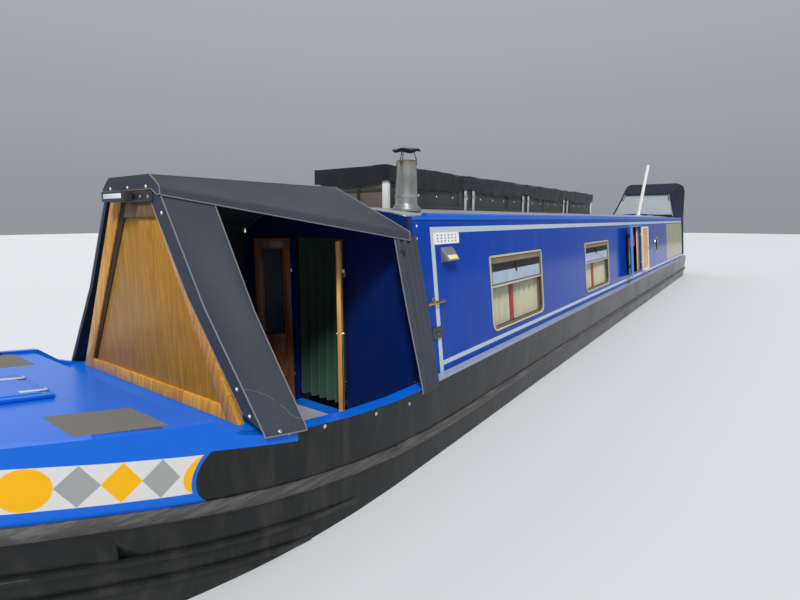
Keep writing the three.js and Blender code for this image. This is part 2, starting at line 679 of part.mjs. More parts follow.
function roundedOutline(width, low, high, topRadius, bottomRadius) {
  const half = width / 2;
  const corners = [
    [half - bottomRadius, low + bottomRadius, bottomRadius, -90],
    [half - topRadius, high - topRadius, topRadius, 0],
    [-half + topRadius, high - topRadius, topRadius, 90],
    [-half + bottomRadius, low + bottomRadius, bottomRadius, 180],
  ];
  return corners.flatMap(([u, v, radius, start]) => [0, 30, 60, 90].map((step) => {
    const angle = radians(start + step);
    return [u + radius * Math.cos(angle), v + radius * Math.sin(angle)];
  }));
}

function circleOutline(v, radius, sides = 24) {
  return Array.from({ length: sides }, (_, i) => {
    const angle = 2 * Math.PI * i / sides;
    return [radius * Math.cos(angle), v + radius * Math.sin(angle)];
  });
}

const WINDOW_Z = [1290, 1915];
const WINDOWS = [
  { name: 'fore', x: [3550, 4750] },
  { name: 'aft', x: [725, 1925] },
];
const PORTHOLE = { x: -3600, z: 1690, radius: 150, flange: 180 };
const SIDE_HATCH = { x: [-1760, -860], z: [1255, 2095] };

const openings = [
  ...WINDOWS.map(({ name, x }) => {
    const outline = (grow) => roundedOutline(
      x[1] - x[0] + 2 * grow, upSlope(WINDOW_Z[0]) - grow, upSlope(WINDOW_Z[1]) + grow, 30, 70);
    return { name: `window_${name}`, x: (x[0] + x[1]) / 2, outline, flange: 22, border: -26 };
  }),
  {
    name: 'porthole',
    x: PORTHOLE.x,
    outline: (grow) => circleOutline(upSlope(PORTHOLE.z), PORTHOLE.radius + grow),
    flange: PORTHOLE.flange - PORTHOLE.radius,
    border: -18,
  },
];

function onSide(outline, low, high, x, sign) {
  return prism('z', outline, low, high, sideMatrix(x, sign));
}

// Leaves hang on two hinges each. In a leaf's frame x runs along the closed leaf from the hinge line,
// y points out of the wall and z lies on the hinge line, so that a positive turn opens the leaf.
// The origin is HINGE_PROUD out from the wall's face, at the leaf's mid-height.
function leafFrame(along, out, place) {
  const line = new THREE.Vector3().crossVectors(along, out);
  return new THREE.Matrix4().makeBasis(along, out, line).setPosition(...place);
}

const FRONT_DOOR = { half: 280, z: [760, 2100] };
const REAR_DOOR = { half: 300, z: [975, 2232] };
const middle = ([low, high]) => (low + high) / 2;
const hatchSlope = SIDE_HATCH.z.map(upSlope);
const [AHEAD, UPRIGHT] = [new THREE.Vector3(1, 0, 0), new THREE.Vector3(0, 0, 1)];
const acrossFrom = (sign) => new THREE.Vector3(0, -sign, 0);
const hatchFrame = (x, run) => sideMatrix(x, 1).multiply(
  leafFrame(AHEAD.clone().multiplyScalar(run), UPRIGHT, [0, middle(hatchSlope), HINGE_PROUD]));

const LEAVES = [
  ...SIDES.map(({ name, sign }) => ({
    name: `front_door_${name}`,
    wall: 'front_bulkhead',
    frame: leafFrame(acrossFrom(sign), AHEAD,
      [CABIN_FRONT_X + BULKHEAD + HINGE_PROUD, sign * FRONT_DOOR.half, middle(FRONT_DOOR.z)]),
    width: FRONT_DOOR.half - 4,
    height: FRONT_DOOR.z[1] - FRONT_DOOR.z[0] - 10,
    open: 130,
    finish: 'darkWood',
  })),
  ...SIDES.map(({ name, sign }) => ({
    name: `rear_door_${name}`,
    wall: 'rear_bulkhead',
    frame: leafFrame(acrossFrom(sign), AHEAD.clone().negate(),
      [CABIN_BACK_X - HINGE_PROUD, sign * REAR_DOOR.half, middle(REAR_DOOR.z)]),
    width: REAR_DOOR.half - 4,
    height: REAR_DOOR.z[1] - REAR_DOOR.z[0],
    open: 0,
    finish: 'wood',
  })),
  ...[['fore', SIDE_HATCH.x[1], 1, 170], ['aft', SIDE_HATCH.x[0], -1, 176]].map(([name, x, run, open]) => ({
    name: `side_hatch_${name}`,
    wall: 'cabin_side_port',
    frame: hatchFrame(x, run),
    width: (SIDE_HATCH.x[1] - SIDE_HATCH.x[0]) / 2 - 4,
    height: hatchSlope[1] - hatchSlope[0] - 12,
    open,
    finish: 'blue',
  })),
];

// One hinge: half of its length is the barrel on the leaf, the other half the lug on the wall with the pin
const HINGE = { pin: 4, bore: 5, barrel: 8, half: 28, clearance: 1 };
const LUG_OUTLINE = [[-14, -HINGE_SEAT], [-1, -HINGE_SEAT], [6, 0], [0, 6]];
const TAB_OUTLINE = [[0.5, -7], [7, -HINGE_SEAT], [18, -HINGE_SEAT], [18, -9], [7.5, 0]];
const roundSection = (radius) => circleOutline(0, radius, 12);
const hingePlaces = (height) => [-0.32 * height, 0.32 * height];

function hingeBarrel(place) {
  const shell = join(
    prism('z', roundSection(HINGE.barrel), place, place + HINGE.half),
    prism('z', TAB_OUTLINE, place, place + HINGE.half));
  return cut(shell, prism('z', roundSection(HINGE.bore), place - 1, place + HINGE.half + 1));
}

function hingeLug(place, frame) {
  const low = place - HINGE.half - HINGE.clearance;
  return join(
    prism('z', LUG_OUTLINE, low, place - HINGE.clearance, frame),
    prism('z', roundSection(HINGE.pin), low, place + HINGE.half, frame));
}

function lugsOn(wall) {
  const hung = LEAVES.filter((leaf) => leaf.wall === wall);
  return hung.flatMap(({ frame, height }) => hingePlaces(height).map((place) => hingeLug(place, frame)));
}

for (const { name, frame, width, height, open, finish } of LEAVES) {
  const group = new THREE.Group();
  group.applyMatrix4(frame.clone().multiply(new THREE.Matrix4().makeRotationZ(radians(open))));
  boat.add(group);
  const panel = box([LEAF_EDGE, width], [-HINGE_PROUD - LEAF, -HINGE_PROUD], [-height / 2, height / 2]);
  piece(name, join(panel, ...hingePlaces(height).map(hingeBarrel)), finish, group);
}

for (const { name, sign } of SIDES) {
  const foot = GUNWALE_Z + GAP;
  const section = [
    [CABIN_FOOT_HALF, foot],
    [CABIN_TOP_HALF, CABIN_TOP_Z],
    [CABIN_TOP_HALF - CABIN_WALL, CABIN_TOP_Z],
    [CABIN_FOOT_HALF - CABIN_WALL, foot],
  ].map(([y, z]) => [sign * y, z]);
  const holes = openings.map(({ x, outline }) => onSide(outline(0), -80, 40, x, sign));
  if (sign > 0) {
    const hatch = roundedOutline(SIDE_HATCH.x[1] - SIDE_HATCH.x[0], ...hatchSlope, 4, 4);
    holes.push(onSide(hatch, -80, 40, middle(SIDE_HATCH.x), sign));
  }
  const wall = cut(prism('x', section, SIDE_BACK_X, CABIN_FRONT_X - GAP), ...holes);
  piece(`cabin_side_${name}`, join(wall, ...lugsOn(`cabin_side_${name}`)), 'blue');
  for (const { name: opening, x, outline, flange, border } of openings) {
    const glazed = join(
      cut(join(onSide(outline(flange), GAP, 9, x, sign), onSide(outline(-GAP), -CABIN_WALL + 4, 2, x, sign)),
        onSide(outline(border), -80, 40, x, sign)),
      onSide(outline(border + 3), -20, -14, x, sign));
    piece(`${opening}_${name}`, glazed, 'bronze');
  }
}

// Roof with the slot for the sliding hatch, open down the middle over the stern well
const HATCH_HALF = 320;
const HATCH_X = [-6120, CABIN_BACK_X];
const roofTop = roofLine(-ROOF_HALF, ROOF_HALF, 0);
const ROOF_SHELF = 775;
const roofUnder = Array.from({ length: 9 }, (_, i) => {
  const y = lerp(ROOF_SHELF, -ROOF_SHELF, i / 8);
  return [y, lerp(2290, CABIN_TOP_Z + GAP, (y / ROOF_SHELF) ** 2)];
});
const roofFoot = CABIN_TOP_Z + GAP;
const roofSection = [[-ROOF_HALF, roofFoot], ...roofTop, [ROOF_HALF, roofFoot], ...roofUnder].reverse();
const runnerTop = 2350;
const RAIL = [[815, 2250], [834, 2250], [834, 2272], [826, 2282], [796, 2282], [788, 2272], [788, 2255]];
const railSection = (sign) => RAIL.map(([y, z]) => [sign * y, z]);
const RAIL_X = [SIDE_BACK_X, 5690];
const RUNNER_Y = [352, 376];
const roof = cut(
  join(prism('x', roofSection, SIDE_BACK_X, CABIN_FRONT_X - GAP),
    ...SIDES.map(({ sign }) => prism('x', railSection(sign), ...RAIL_X)),
    ...SIDES.map(({ sign }) => box([CABIN_BACK_X, HATCH_X[0] + 720],
      RUNNER_Y.map((y) => sign * y).sort((a, b) => a - b), [2305, runnerTop]))),
  box([HATCH_X[1] - 1, HATCH_X[0]], [-HATCH_HALF, HATCH_HALF], [2200, 2400]),
  box([SIDE_BACK_X - 10, CABIN_BACK_X], [-745, 745], [2200, 2400]));
piece('cabin_roof', roof, 'blue');

// Sliding hatch: a cambered lid on its two runners
const slideTop = (y) => 2378 - 22 * (y / 420) ** 2;
const slideArc = [-420, -280, -140, 0, 140, 280, 420].map((y) => [y, slideTop(y)]);
const slideSection = [[420, 2334], [396, 2334], [396, runnerTop + 0.4], [-396, runnerTop + 0.4], [-396, 2334],
  [-420, 2334], ...slideArc];
const SLIDE_X = [HATCH_X[1] + 12, HATCH_X[0] + 30];
const slideRibs = [[-345, -330], [330, 345]].map((y) => box(SLIDE_X, y, [2336, 2352]));
piece('sliding_hatch', join(prism('x', slideSection, ...SLIDE_X), ...slideRibs), 'blue');

// Bulkheads with their doorways
const roofOutline = roofLine(0, ROOF_HALF - 1, 0);
const hullBulkheadHalf = (z) => [sideHalf(z) - HULL_WALL - 6, z];
const sillHalf = [HULL_BOTTOM, FRONT_DOOR.z[0] - GAP].map(hullBulkheadHalf);
const bulkheadX = [CABIN_FRONT_X, CABIN_FRONT_X + BULKHEAD - GAP];
piece('hull_bulkhead', prism('x', mirrorOutline(sillHalf), ...bulkheadX), 'brightBlue');
const frontHalf = [
  ...[FRONT_DOOR.z[0], GUNWALE_Z - GUNWALE_THICK - 5].map(hullBulkheadHalf),
  [885, GUNWALE_Z - GUNWALE_THICK - 5],
  [885, GUNWALE_Z + 4],
];
const shoulders = [[CABIN_FOOT_HALF - 4, GUNWALE_Z + 4], [ROOF_HALF - 1, ROOF_EDGE_Z - 1]];
const frontOutline = mirrorOutline([...frontHalf, ...shoulders, ...roofOutline.slice(0, -1).reverse()]);
const doorwayZ = [FRONT_DOOR.z[0] - 10, FRONT_DOOR.z[1]];
const frontBulkhead = cut(
  prism('x', frontOutline, ...bulkheadX),
  box([CABIN_FRONT_X - 20, CABIN_FRONT_X + 80], [-FRONT_DOOR.half, FRONT_DOOR.half], doorwayZ));
piece('front_bulkhead', join(frontBulkhead, ...lugsOn('front_bulkhead')), 'blue');
const rearTop = CABIN_TOP_Z - 8;
const rearInside = (z) => [cabinHalf(z) - CABIN_WALL - 0.6, z];
const rearHalf = [
  [530, HULL_BOTTOM],
  [530, COUNTER_TOP + GAP],
  [940, COUNTER_TOP + GAP],
  [BOARDS_HALF, GUNWALE_Z - GUNWALE_THICK - 5],
  [885, GUNWALE_Z - GUNWALE_THICK - 5],
  rearInside(GUNWALE_Z + 4),
  rearInside(rearTop),
];
const rearBulkhead = cut(
  prism('x', mirrorOutline(rearHalf), CABIN_BACK_X, CABIN_BACK_X + BULKHEAD),
  box([CABIN_BACK_X - 20, CABIN_BACK_X + 80], [-REAR_DOOR.half, REAR_DOOR.half], [REAR_DOOR.z[0] - 6, 2400]));
piece('rear_bulkhead', join(rearBulkhead, ...lugsOn('rear_bulkhead')), 'wood');

// Roof gear: storage box with its cover, chimney and mast
const ROOF_BOX = { x: [-435, 5425], y: [-490, 290], z: 2650 };
const boxFoot = roofLine(ROOF_BOX.y[0], ROOF_BOX.y[1], GAP);
const boxSection = [...boxFoot, [ROOF_BOX.y[1], ROOF_BOX.z], [ROOF_BOX.y[0], ROOF_BOX.z]];
piece('roof_box', prism('x', boxSection, ...ROOF_BOX.x), 'canvas');
const COVER_LOW = 2490;
const grownBox = (grow, z) => box(
  [ROOF_BOX.x[0] - grow, ROOF_BOX.x[1] + grow], [ROOF_BOX.y[0] - grow, ROOF_BOX.y[1] + grow], z);
const coverOutside = grownBox(15, [COVER_LOW, ROOF_BOX.z + 17]);
const coverInside = grownBox(3, [COVER_LOW - 10, ROOF_BOX.z + GAP]);
piece('roof_box_cover', cut(coverOutside, coverInside), 'canvas');

const CHIMNEY = { x: 5525, y: 545 };
function roofBlock(lift) {
  const outline = [...roofLine(-ROOF_HALF, ROOF_HALF, lift), [ROOF_HALF, 2100], [-ROOF_HALF, 2100]];
  return prism('x', outline.reverse(), SIDE_BACK_X, CABIN_FRONT_X);
}

const chimneyProfile = [[0, 2280], [112, 2280], [112, 2325], [90, 2345], [85, 2350], [72, 2690], [0, 2690]];
const chimneyTube = new THREE.LatheGeometry(chimneyProfile.map(([r, z]) => new THREE.Vector2(r, z)), 24);
chimneyTube.rotateX(Math.PI / 2);
chimneyTube.translate(CHIMNEY.x, CHIMNEY.y, 0);
const hat = join(
  cylinder('z', [CHIMNEY.x, CHIMNEY.y], 105, 2735, 2752),
  ...[0, 120, 240].map((turn) => {
    const place = [CHIMNEY.x + 62 * Math.cos(radians(turn)), CHIMNEY.y + 62 * Math.sin(radians(turn))];
    return cylinder('z', place, 5, 2670, 2740, 8);
  }));
piece('chimney', cut(join(solidOf(chimneyTube), hat), roofBlock(GAP)), 'steel');

const MAST = { x: -4500, y: 305, lean: 6.3, height: 1200 };
const mastTube = new THREE.CylinderGeometry(38, 38, MAST.height, 16);
mastTube.rotateX(Math.PI / 2);
mastTube.translate(0, 0, MAST.height / 2);
mastTube.rotateX(-radians(MAST.lean));
mastTube.translate(MAST.x, MAST.y, 2300);
const mastFoot = box([MAST.x - 70, MAST.x + 70], [MAST.y - 70, MAST.y + 70], [2290, 2335]);
piece('mast', cut(join(solidOf(mastTube), mastFoot), roofBlock(GAP)), 'white');

// Cratch: the board on the fore deck, the plank back to the cabin, and the canvas over them
const BOARD_FOOT_Z = DECK_FLAT_Z + GAP;
const BOARD_SHOULDER_Z = 2330;
const PLANK_Z = [2425, 2456.4];
const boardHalf = [[BOARD_FOOT_HALF, BOARD_FOOT_Z], [BOARD_TOP_HALF, BOARD_SHOULDER_Z],
  [BOARD_TOP_HALF - 40, PLANK_Z[0] - GAP]];
piece('cratch_board', prism('x', mirrorOutline(boardHalf), BOARD_X, BOARD_X + BOARD_THICK), 'wood');
const plankBlock = box(
  [CABIN_FRONT_X + 5, CABIN_FRONT_X + 45], [-60, 60], [ROOF_CROWN_Z + 0.6, PLANK_Z[0] + 5]);
const plank = box([CABIN_FRONT_X + 5, BOARD_X + BOARD_THICK], [-190, 190], PLANK_Z);
piece('top_plank', join(plank, plankBlock), 'wood');

// The cover is flat on the plank and slopes straight down to a short upright skirt
const CANVAS_THICK = 8;
const COVER_X = [CABIN_FRONT_X + BULKHEAD + 5, BOARD_X + BOARD_THICK + 0.7 + CANVAS_THICK];
const COVER_CROWN = { half: 215, z: PLANK_Z[1] + 0.6 + CANVAS_THICK };
const FRONT_SKIRT = [[260, 2388], [COVER_CROWN.half, COVER_CROWN.z - 2]];

function coverSection(x) {
  const t = clamp01((x - COVER_X[0]) / (COVER_X[1] - COVER_X[0]));
  return { half: lerp(865, 300, t), shoulder: lerp(2160, 2400, t), eave: lerp(2100, 2356, t) };
}

function coverRing(x) {
  const { half, shoulder, eave } = coverSection(x);
  const outer = [[half, eave], [half, shoulder], [COVER_CROWN.half, COVER_CROWN.z]];
  const within = half - CANVAS_THICK;
  const innerCrown = [COVER_CROWN.half - 3, COVER_CROWN.z - CANVAS_THICK];
  const inner = [[within, eave], [within, shoulder - 6], innerCrown];
  return [...mirrorOutline(outer), ...mirrorOutline(inner).reverse()].map(([y, z]) => [x, y, z]);
}

const frontSkirt = prism('x', mirrorOutline(FRONT_SKIRT), COVER_X[1] - CANVAS_THICK, COVER_X[1]);
piece('cratch_cover', join(loft(COVER_X.map(coverRing)), frontSkirt), 'canvas');

// A side curtain between two places, from inside the cover's skirt out over the gunwale
const CURTAIN_THICK = 6;

function curtainRing(x, hem) {
  const { half, eave } = coverSection(x);
  const edge = sheer(x);
  const u = (x - BOW_JOINT_X) / (STEM_X - BOW_JOINT_X);
  const hull = x > BOW_JOINT_X ? bowPoint(u, edge).y : GUNWALE_HALF;
  const foot = hull + 8.6 + CURTAIN_THICK;
  const head = half - CANVAS_THICK - 0.6;
  const hollow = 45 * clamp01((x - 6200) / 1000);
  const line = [
    [head, eave + 25],
    [head, eave],
    [lerp(head, foot, 0.5) - hollow, lerp(eave, edge + 8, 0.5)],
    [foot, edge + 8],
    [foot, edge - hem],
  ];
  const ring = [...line, ...line.slice().reverse().map(([y, z]) => [y - CURTAIN_THICK, z])];
  return ring.map(([y, z]) => [x, y, z]);
}

const CURTAINS = [
  { name: 'cratch_curtain_port_fore', sign: 1, x: [7030, 7120, 7200, 7262], hem: 60 },
  { name: 'cratch_curtain_port_aft', sign: 1, x: [5850, 5930, 6030], hem: 30 },
  { name: 'cratch_curtain_starboard', sign: -1, x: [5850, 5930, 6200, 6550, 6900, 7120, 7262], hem: 60 },
];
for (const { name, sign, x, hem } of CURTAINS) {
  piece(name, loft(x.map((at) => mirrored(curtainRing(at, hem), sign))), 'canvas');
}

// Stern hood: a canvas shell over the stern well, open below. Its front leans back to a low fore hoop, and
// its top rises from there to the wider aft hoop.
const HOOD_FOOT = ROOF_EDGE_Z + 31;
const HOOD_TOP = 3290;
const hoodProfile = [
  [HOOD_FOOT, CABIN_BACK_X + 12],
  [2950, -7150],
  [3270, -8100],
  [HOOD_TOP, -8330],
  [1200, -8420],
  [1200, SIDE_BACK_X - 7],
  [HOOD_FOOT, SIDE_BACK_X - 7],
];
const hoodInnerProfile = [
  [1000, CABIN_BACK_X + 500],
  [HOOD_FOOT, CABIN_BACK_X + 2],
  [2945, -7160],
  [3261, -8103],
  [HOOD_TOP - 9, -8321],
  [1000, -8420],
];
const HOOD_STATIONS = [
  { x: -8500, upper: [815, 770, 660, 480] },
  { x: -8330, upper: [815, 770, 660, 480] },
  { x: -6780, upper: [520, 480, 440, 400] },
  { x: -6300, upper: [520, 480, 440, 400] },
];
const HOOD_UPPER_Z = [3060, 3200, 3268, HOOD_TOP];

function hoodRing({ x, upper }, inset, foot) {
  const above = upper.map((y, i) => [y - (i < 2 ? inset : 0), HOOD_UPPER_Z[i] - (i > 0 ? inset : 0)]);
  const half = [foot, [837 - inset, HOOD_FOOT], ...above];
  return mirrorOutline(half).map(([y, z]) => [x, y, z]);
}

const hoodShell = (profile, inset, foot) => prism('y', profile, -1000, 1000)
  .intersect(loft(HOOD_STATIONS.map((station) => hoodRing(station, inset, foot))));
const hoodOuter = hoodShell(hoodProfile, 0, [937, 1100]);
const hoodInner = hoodShell(hoodInnerProfile, 9, [921, 900]);
piece('stern_hood', cut(hoodOuter, hoodInner, roofBlock(GAP)), 'canvas');

// Rope fenders at stem and stern
const bowFender = loft([1180, 1260, 1420, 1520].map((z, i) => {
  const root = stemX(z) + 0.7;
  const radius = [45, 95, 95, 55][i];
  const arc = [-90, -60, -30, 0, 30, 60, 90].map((a) => [
    root + 6 + radius * Math.cos(radians(a)), radius * 0.8 * Math.sin(radians(a)), z]);
  return [[root, -radius * 0.7, z], ...arc, [root, radius * 0.7, z]];
}));
piece('bow_fender', bowFender, 'rope');
const counterBack = [counterRing(90, undefined, 0)[0], counterRing(90, undefined, 0)[1]];
const sternXAt = (z) => lerp(
  counterBack[0][0], counterBack[1][0], (z - counterBack[0][2]) / (counterBack[1][2] - counterBack[0][2]));
const sternFender = loft([[0.6, 0.72], [30, 1], [120, 1], [175, 0.6]].map(([out, scale]) => {
  const angles = Array.from({ length: 12 }, (_, i) => radians(30 * i));
  const places = angles.map((a) => [200 * scale * Math.cos(a), 1000 + 105 * scale * Math.sin(a)]);
  return places.map(([y, z]) => [sternXAt(z) - out, y, z]);
}));
piece('stern_fender', sternFender, 'rope');

export default boat;
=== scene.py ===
"""A steel narrowboat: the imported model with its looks, fittings and soft goods, in metres."""
import json
import math

import bmesh
import bpy
from mathutils import Matrix, Vector
from mathutils.bvhtree import BVHTree
from mathutils.noise import noise

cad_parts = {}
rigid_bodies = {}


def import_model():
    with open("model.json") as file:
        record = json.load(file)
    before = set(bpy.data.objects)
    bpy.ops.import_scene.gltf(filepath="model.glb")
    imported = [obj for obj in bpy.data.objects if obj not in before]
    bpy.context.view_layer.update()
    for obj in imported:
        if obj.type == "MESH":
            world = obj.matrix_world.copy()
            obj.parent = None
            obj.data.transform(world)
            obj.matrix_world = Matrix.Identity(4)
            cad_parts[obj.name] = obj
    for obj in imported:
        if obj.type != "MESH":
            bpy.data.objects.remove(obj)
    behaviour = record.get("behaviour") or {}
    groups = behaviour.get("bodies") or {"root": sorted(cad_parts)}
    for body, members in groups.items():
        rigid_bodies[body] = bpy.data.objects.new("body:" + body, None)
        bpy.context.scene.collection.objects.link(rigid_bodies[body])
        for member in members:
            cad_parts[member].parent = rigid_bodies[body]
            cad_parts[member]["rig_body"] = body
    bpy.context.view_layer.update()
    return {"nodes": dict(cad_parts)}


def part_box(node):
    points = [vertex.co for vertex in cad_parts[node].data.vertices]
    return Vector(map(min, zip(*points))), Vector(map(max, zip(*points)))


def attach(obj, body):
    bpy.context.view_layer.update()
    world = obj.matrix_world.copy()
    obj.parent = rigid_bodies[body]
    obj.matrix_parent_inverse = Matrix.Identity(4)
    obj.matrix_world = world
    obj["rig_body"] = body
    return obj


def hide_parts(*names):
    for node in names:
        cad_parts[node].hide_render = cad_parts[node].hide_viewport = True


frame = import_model()

# Camera: on the bank abreast of the bow, 2.24 m above the base plate, looking aft along the port side.
CAMERA_AT = (8.565, 2.69, 2.24)
CAMERA_TURN = (80.61, 0.0, 125.93)
LENS_MM = 22.05
camera_data = bpy.data.cameras.new("bank_camera")
camera_data.sensor_width = 36.0
camera_data.lens = LENS_MM
camera_data.clip_end = 200.0
camera = bpy.data.objects.new("bank_camera", camera_data)
camera.location = CAMERA_AT
camera.rotation_euler = [math.radians(angle) for angle in CAMERA_TURN]
bpy.context.scene.collection.objects.link(camera)
bpy.context.scene.camera = camera

# Studio: a pale floor at the waterline, 0.60 m above the base plate, a pale sky that is brighter overhead,
# and one broad soft lamp from the bank side with a weaker one across from it.
WATERLINE = 0.60


def node(tree, kind, inputs=None, **settings):
    """One shader node with its settings; each input is a value or the socket that feeds it."""
    made = tree.nodes.new(kind)
    for key, value in settings.items():
        setattr(made, key, value)
    for key, value in (inputs or {}).items():
        if isinstance(value, bpy.types.NodeSocket):
            tree.links.new(value, made.inputs[key])
        else:
            made.inputs[key].default_value = value
    return made


def deselect():
    if bpy.context.object and bpy.context.object.mode != "OBJECT":
        bpy.ops.object.mode_set(mode="OBJECT")
    bpy.ops.object.select_all(action="DESELECT")


deselect()
bpy.ops.mesh.primitive_plane_add(size=120.0, location=(0.0, 0.0, WATERLINE))
floor = bpy.context.object
floor.name = "studio_floor"
floor_paint = bpy.data.materials.new("pale_floor")
floor_paint.use_nodes = True
floor_shader = floor_paint.node_tree.nodes["Principled BSDF"]
floor_shader.inputs["Base Color"].default_value = (0.60, 0.61, 0.62, 1.0)
floor_shader.inputs["Roughness"].default_value = 0.6
floor.data.materials.append(floor_paint)

sky = bpy.data.worlds.new("studio_sky")
bpy.context.scene.world = sky
sky.use_nodes = True
sky_tree = sky.node_tree
sky_place = node(sky_tree, "ShaderNodeTexCoord")
sky_split = node(sky_tree, "ShaderNodeSeparateXYZ", {"Vector": sky_place.outputs["Generated"]})
sky_ramp = node(sky_tree, "ShaderNodeValToRGB", {"Fac": sky_split.outputs["Z"]})
sky_ramp.color_ramp.elements[0].color = (0.50, 0.55, 0.61, 1.0)
sky_ramp.color_ramp.elements[1].color = (0.92, 0.95, 1.0, 1.0)
sky_ramp.color_ramp.elements[1].position = 0.7
background = sky_tree.nodes["Background"]
sky_tree.links.new(sky_ramp.outputs["Color"], background.inputs["Color"])
background.inputs["Strength"].default_value = 0.55
bpy.context.scene.view_settings.view_transform = "Standard"

for name, turn, energy, angle in [
        ("bank_lamp", (42.0, 0.0, 130.0), 3.0, 14.0),
        ("far_lamp", (55.0, 0.0, -20.0), 0.5, 60.0)]:
    lamp_data = bpy.data.lights.new(name, "SUN")
    lamp_data.energy = energy
    lamp_data.angle = math.radians(angle)
    lamp = bpy.data.objects.new(name, lamp_data)
    lamp.rotation_euler = [math.radians(a) for a in turn]
    bpy.context.scene.collection.objects.link(lamp)

# Hull: welded steel plate, blacked with bitumen below and painted at the bow. The curved plates are welded
# copies of the frame's nodes, shaded smooth across their shallow facets. The bow carries the traditional
# flash: a blue field above the main strake and a white band with a disc, diamonds and a crescent.


def group(name, inputs, outputs):
    """A shared shader group with named sockets: its tree, what it is given and what it hands out."""
    tree = bpy.data.node_groups.new(name, "ShaderNodeTree")
    for side, sockets in (("INPUT", inputs), ("OUTPUT", outputs)):
        for label, kind in sockets.items():
            tree.interface.new_socket(name=label, in_out=side, socket_type="NodeSocket" + kind)
    return tree, tree.nodes.new("NodeGroupInput").outputs, tree.nodes.new("NodeGroupOutput").inputs


def maths(tree, operation, *values, clamp=False):
    return node(tree, "ShaderNodeMath", dict(enumerate(values)), operation=operation,
                use_clamp=clamp).outputs[0]


def shared(tree, name, inputs):
    """A shared group placed in a material with its own values."""
    return node(tree, "ShaderNodeGroup", inputs, node_tree=bpy.data.node_groups[name]).outputs


def over(tree, mask, below, above):
    """One colour over another where the mask is 1."""
    return node(tree, "ShaderNodeMix", {0: mask, 6: below, 7: above}, data_type="RGBA").outputs[2]


def finish_of(name, colour, roughness, metallic=0.0, **sockets):
    """A material with its shader set; its tree, its shader and its object coordinates come with it."""
    made = bpy.data.materials.new(name)
    made.use_nodes = True
    made.diffuse_color = (*colour, 1.0)
    tree = made.node_tree
    shader = tree.nodes["Principled BSDF"]
    values = {"Base Color": (*colour, 1.0), "Roughness": roughness, "Metallic": metallic}
    values.update({key.replace("_", " "): value for key, value in sockets.items()})
    for key, value in values.items():
        shader.inputs[key].default_value = value
    return made, tree, shader, node(tree, "ShaderNodeTexCoord").outputs["Object"]


def feed(tree, shader, **sockets):
    for key, value in sockets.items():
        tree.links.new(value, shader.inputs[key.replace("_", " ")])


def bumped(tree, height, strength, distance):
    bump = node(tree, "ShaderNodeBump", {"Height": height, "Strength": strength, "Distance": distance})
    return bump.outputs["Normal"]


# Weathering: broad cloudy dirt and finer runs that fall straight down a side.
tree, given, made = group(
    "weathering", {"Place": "Vector", "Scale": "Float"},
    {"Clouds": "Float", "Runs": "Float", "Fine": "Float"})
cloud = node(tree, "ShaderNodeTexNoise", {"Vector": given["Place"], "Scale": given["Scale"], "Detail": 6.0,
                                          "Roughness": 0.62})
tree.links.new(cloud.outputs["Fac"], made["Clouds"])
tall = node(tree, "ShaderNodeMapping", {"Vector": given["Place"], "Scale": (9.0, 9.0, 0.9)})
run = node(tree, "ShaderNodeTexNoise", {"Vector": tall.outputs["Vector"], "Scale": given["Scale"],
                                        "Detail": 4.0})
tree.links.new(maths(tree, "MULTIPLY_ADD", run.outputs["Fac"], 3.4, -1.55, clamp=True), made["Runs"])
fine = node(tree, "ShaderNodeTexNoise", {"Vector": given["Place"], "Scale": 90.0, "Detail": 3.0})
tree.links.new(fine.outputs["Fac"], made["Fine"])


def clouded(name, colour, roughness, scale, tones, metallic=0.0, shine=None, **sockets):
    """A finish whose colour drifts between two tones with the clouds; shine does so with its roughness."""
    made, tree, shader, place = finish_of(name, colour, roughness, metallic, **sockets)
    wear = shared(tree, "weathering", {"Place": place, "Scale": scale})
    low, high = tones
    drifting = {"Base_Color": over(tree, wear["Clouds"], (*low, 1.0), (*high, 1.0))}
    if shine:
        drifting["Roughness"] = maths(tree, "MULTIPLY_ADD", wear["Clouds"], *shine)
    feed(tree, shader, **drifting)
    return made


# Scuffs: long scratches along the boat where it rubs on walls and locks.
tree, given, made = group("scuffs", {"Place": "Vector", "Scale": "Float", "Share": "Float"},
                          {"Mask": "Float"})
long_way = node(tree, "ShaderNodeMapping", {"Vector": given["Place"], "Scale": (0.12, 1.0, 1.6)})
scratch = node(tree, "ShaderNodeTexNoise", {"Vector": long_way.outputs["Vector"], "Scale": given["Scale"],
                                            "Detail": 8.0, "Roughness": 0.75})
over_share = maths(tree, "SUBTRACT", scratch.outputs["Fac"], maths(tree, "SUBTRACT", 0.72, given["Share"]))
tree.links.new(maths(tree, "MULTIPLY", over_share, 9.0, clamp=True), made["Mask"])

# A painted line: 1 within half a width of its centre, with a crisp edge.
tree, given, made = group(
    "painted_line", {"Value": "Float", "Centre": "Float", "Half": "Float"}, {"Mask": "Float"})
off_line = maths(tree, "ABSOLUTE", maths(tree, "SUBTRACT", given["Value"], given["Centre"]))
inside = maths(tree, "MULTIPLY", maths(tree, "SUBTRACT", given["Half"], off_line), 900.0, clamp=True)
tree.links.new(inside, made["Mask"])

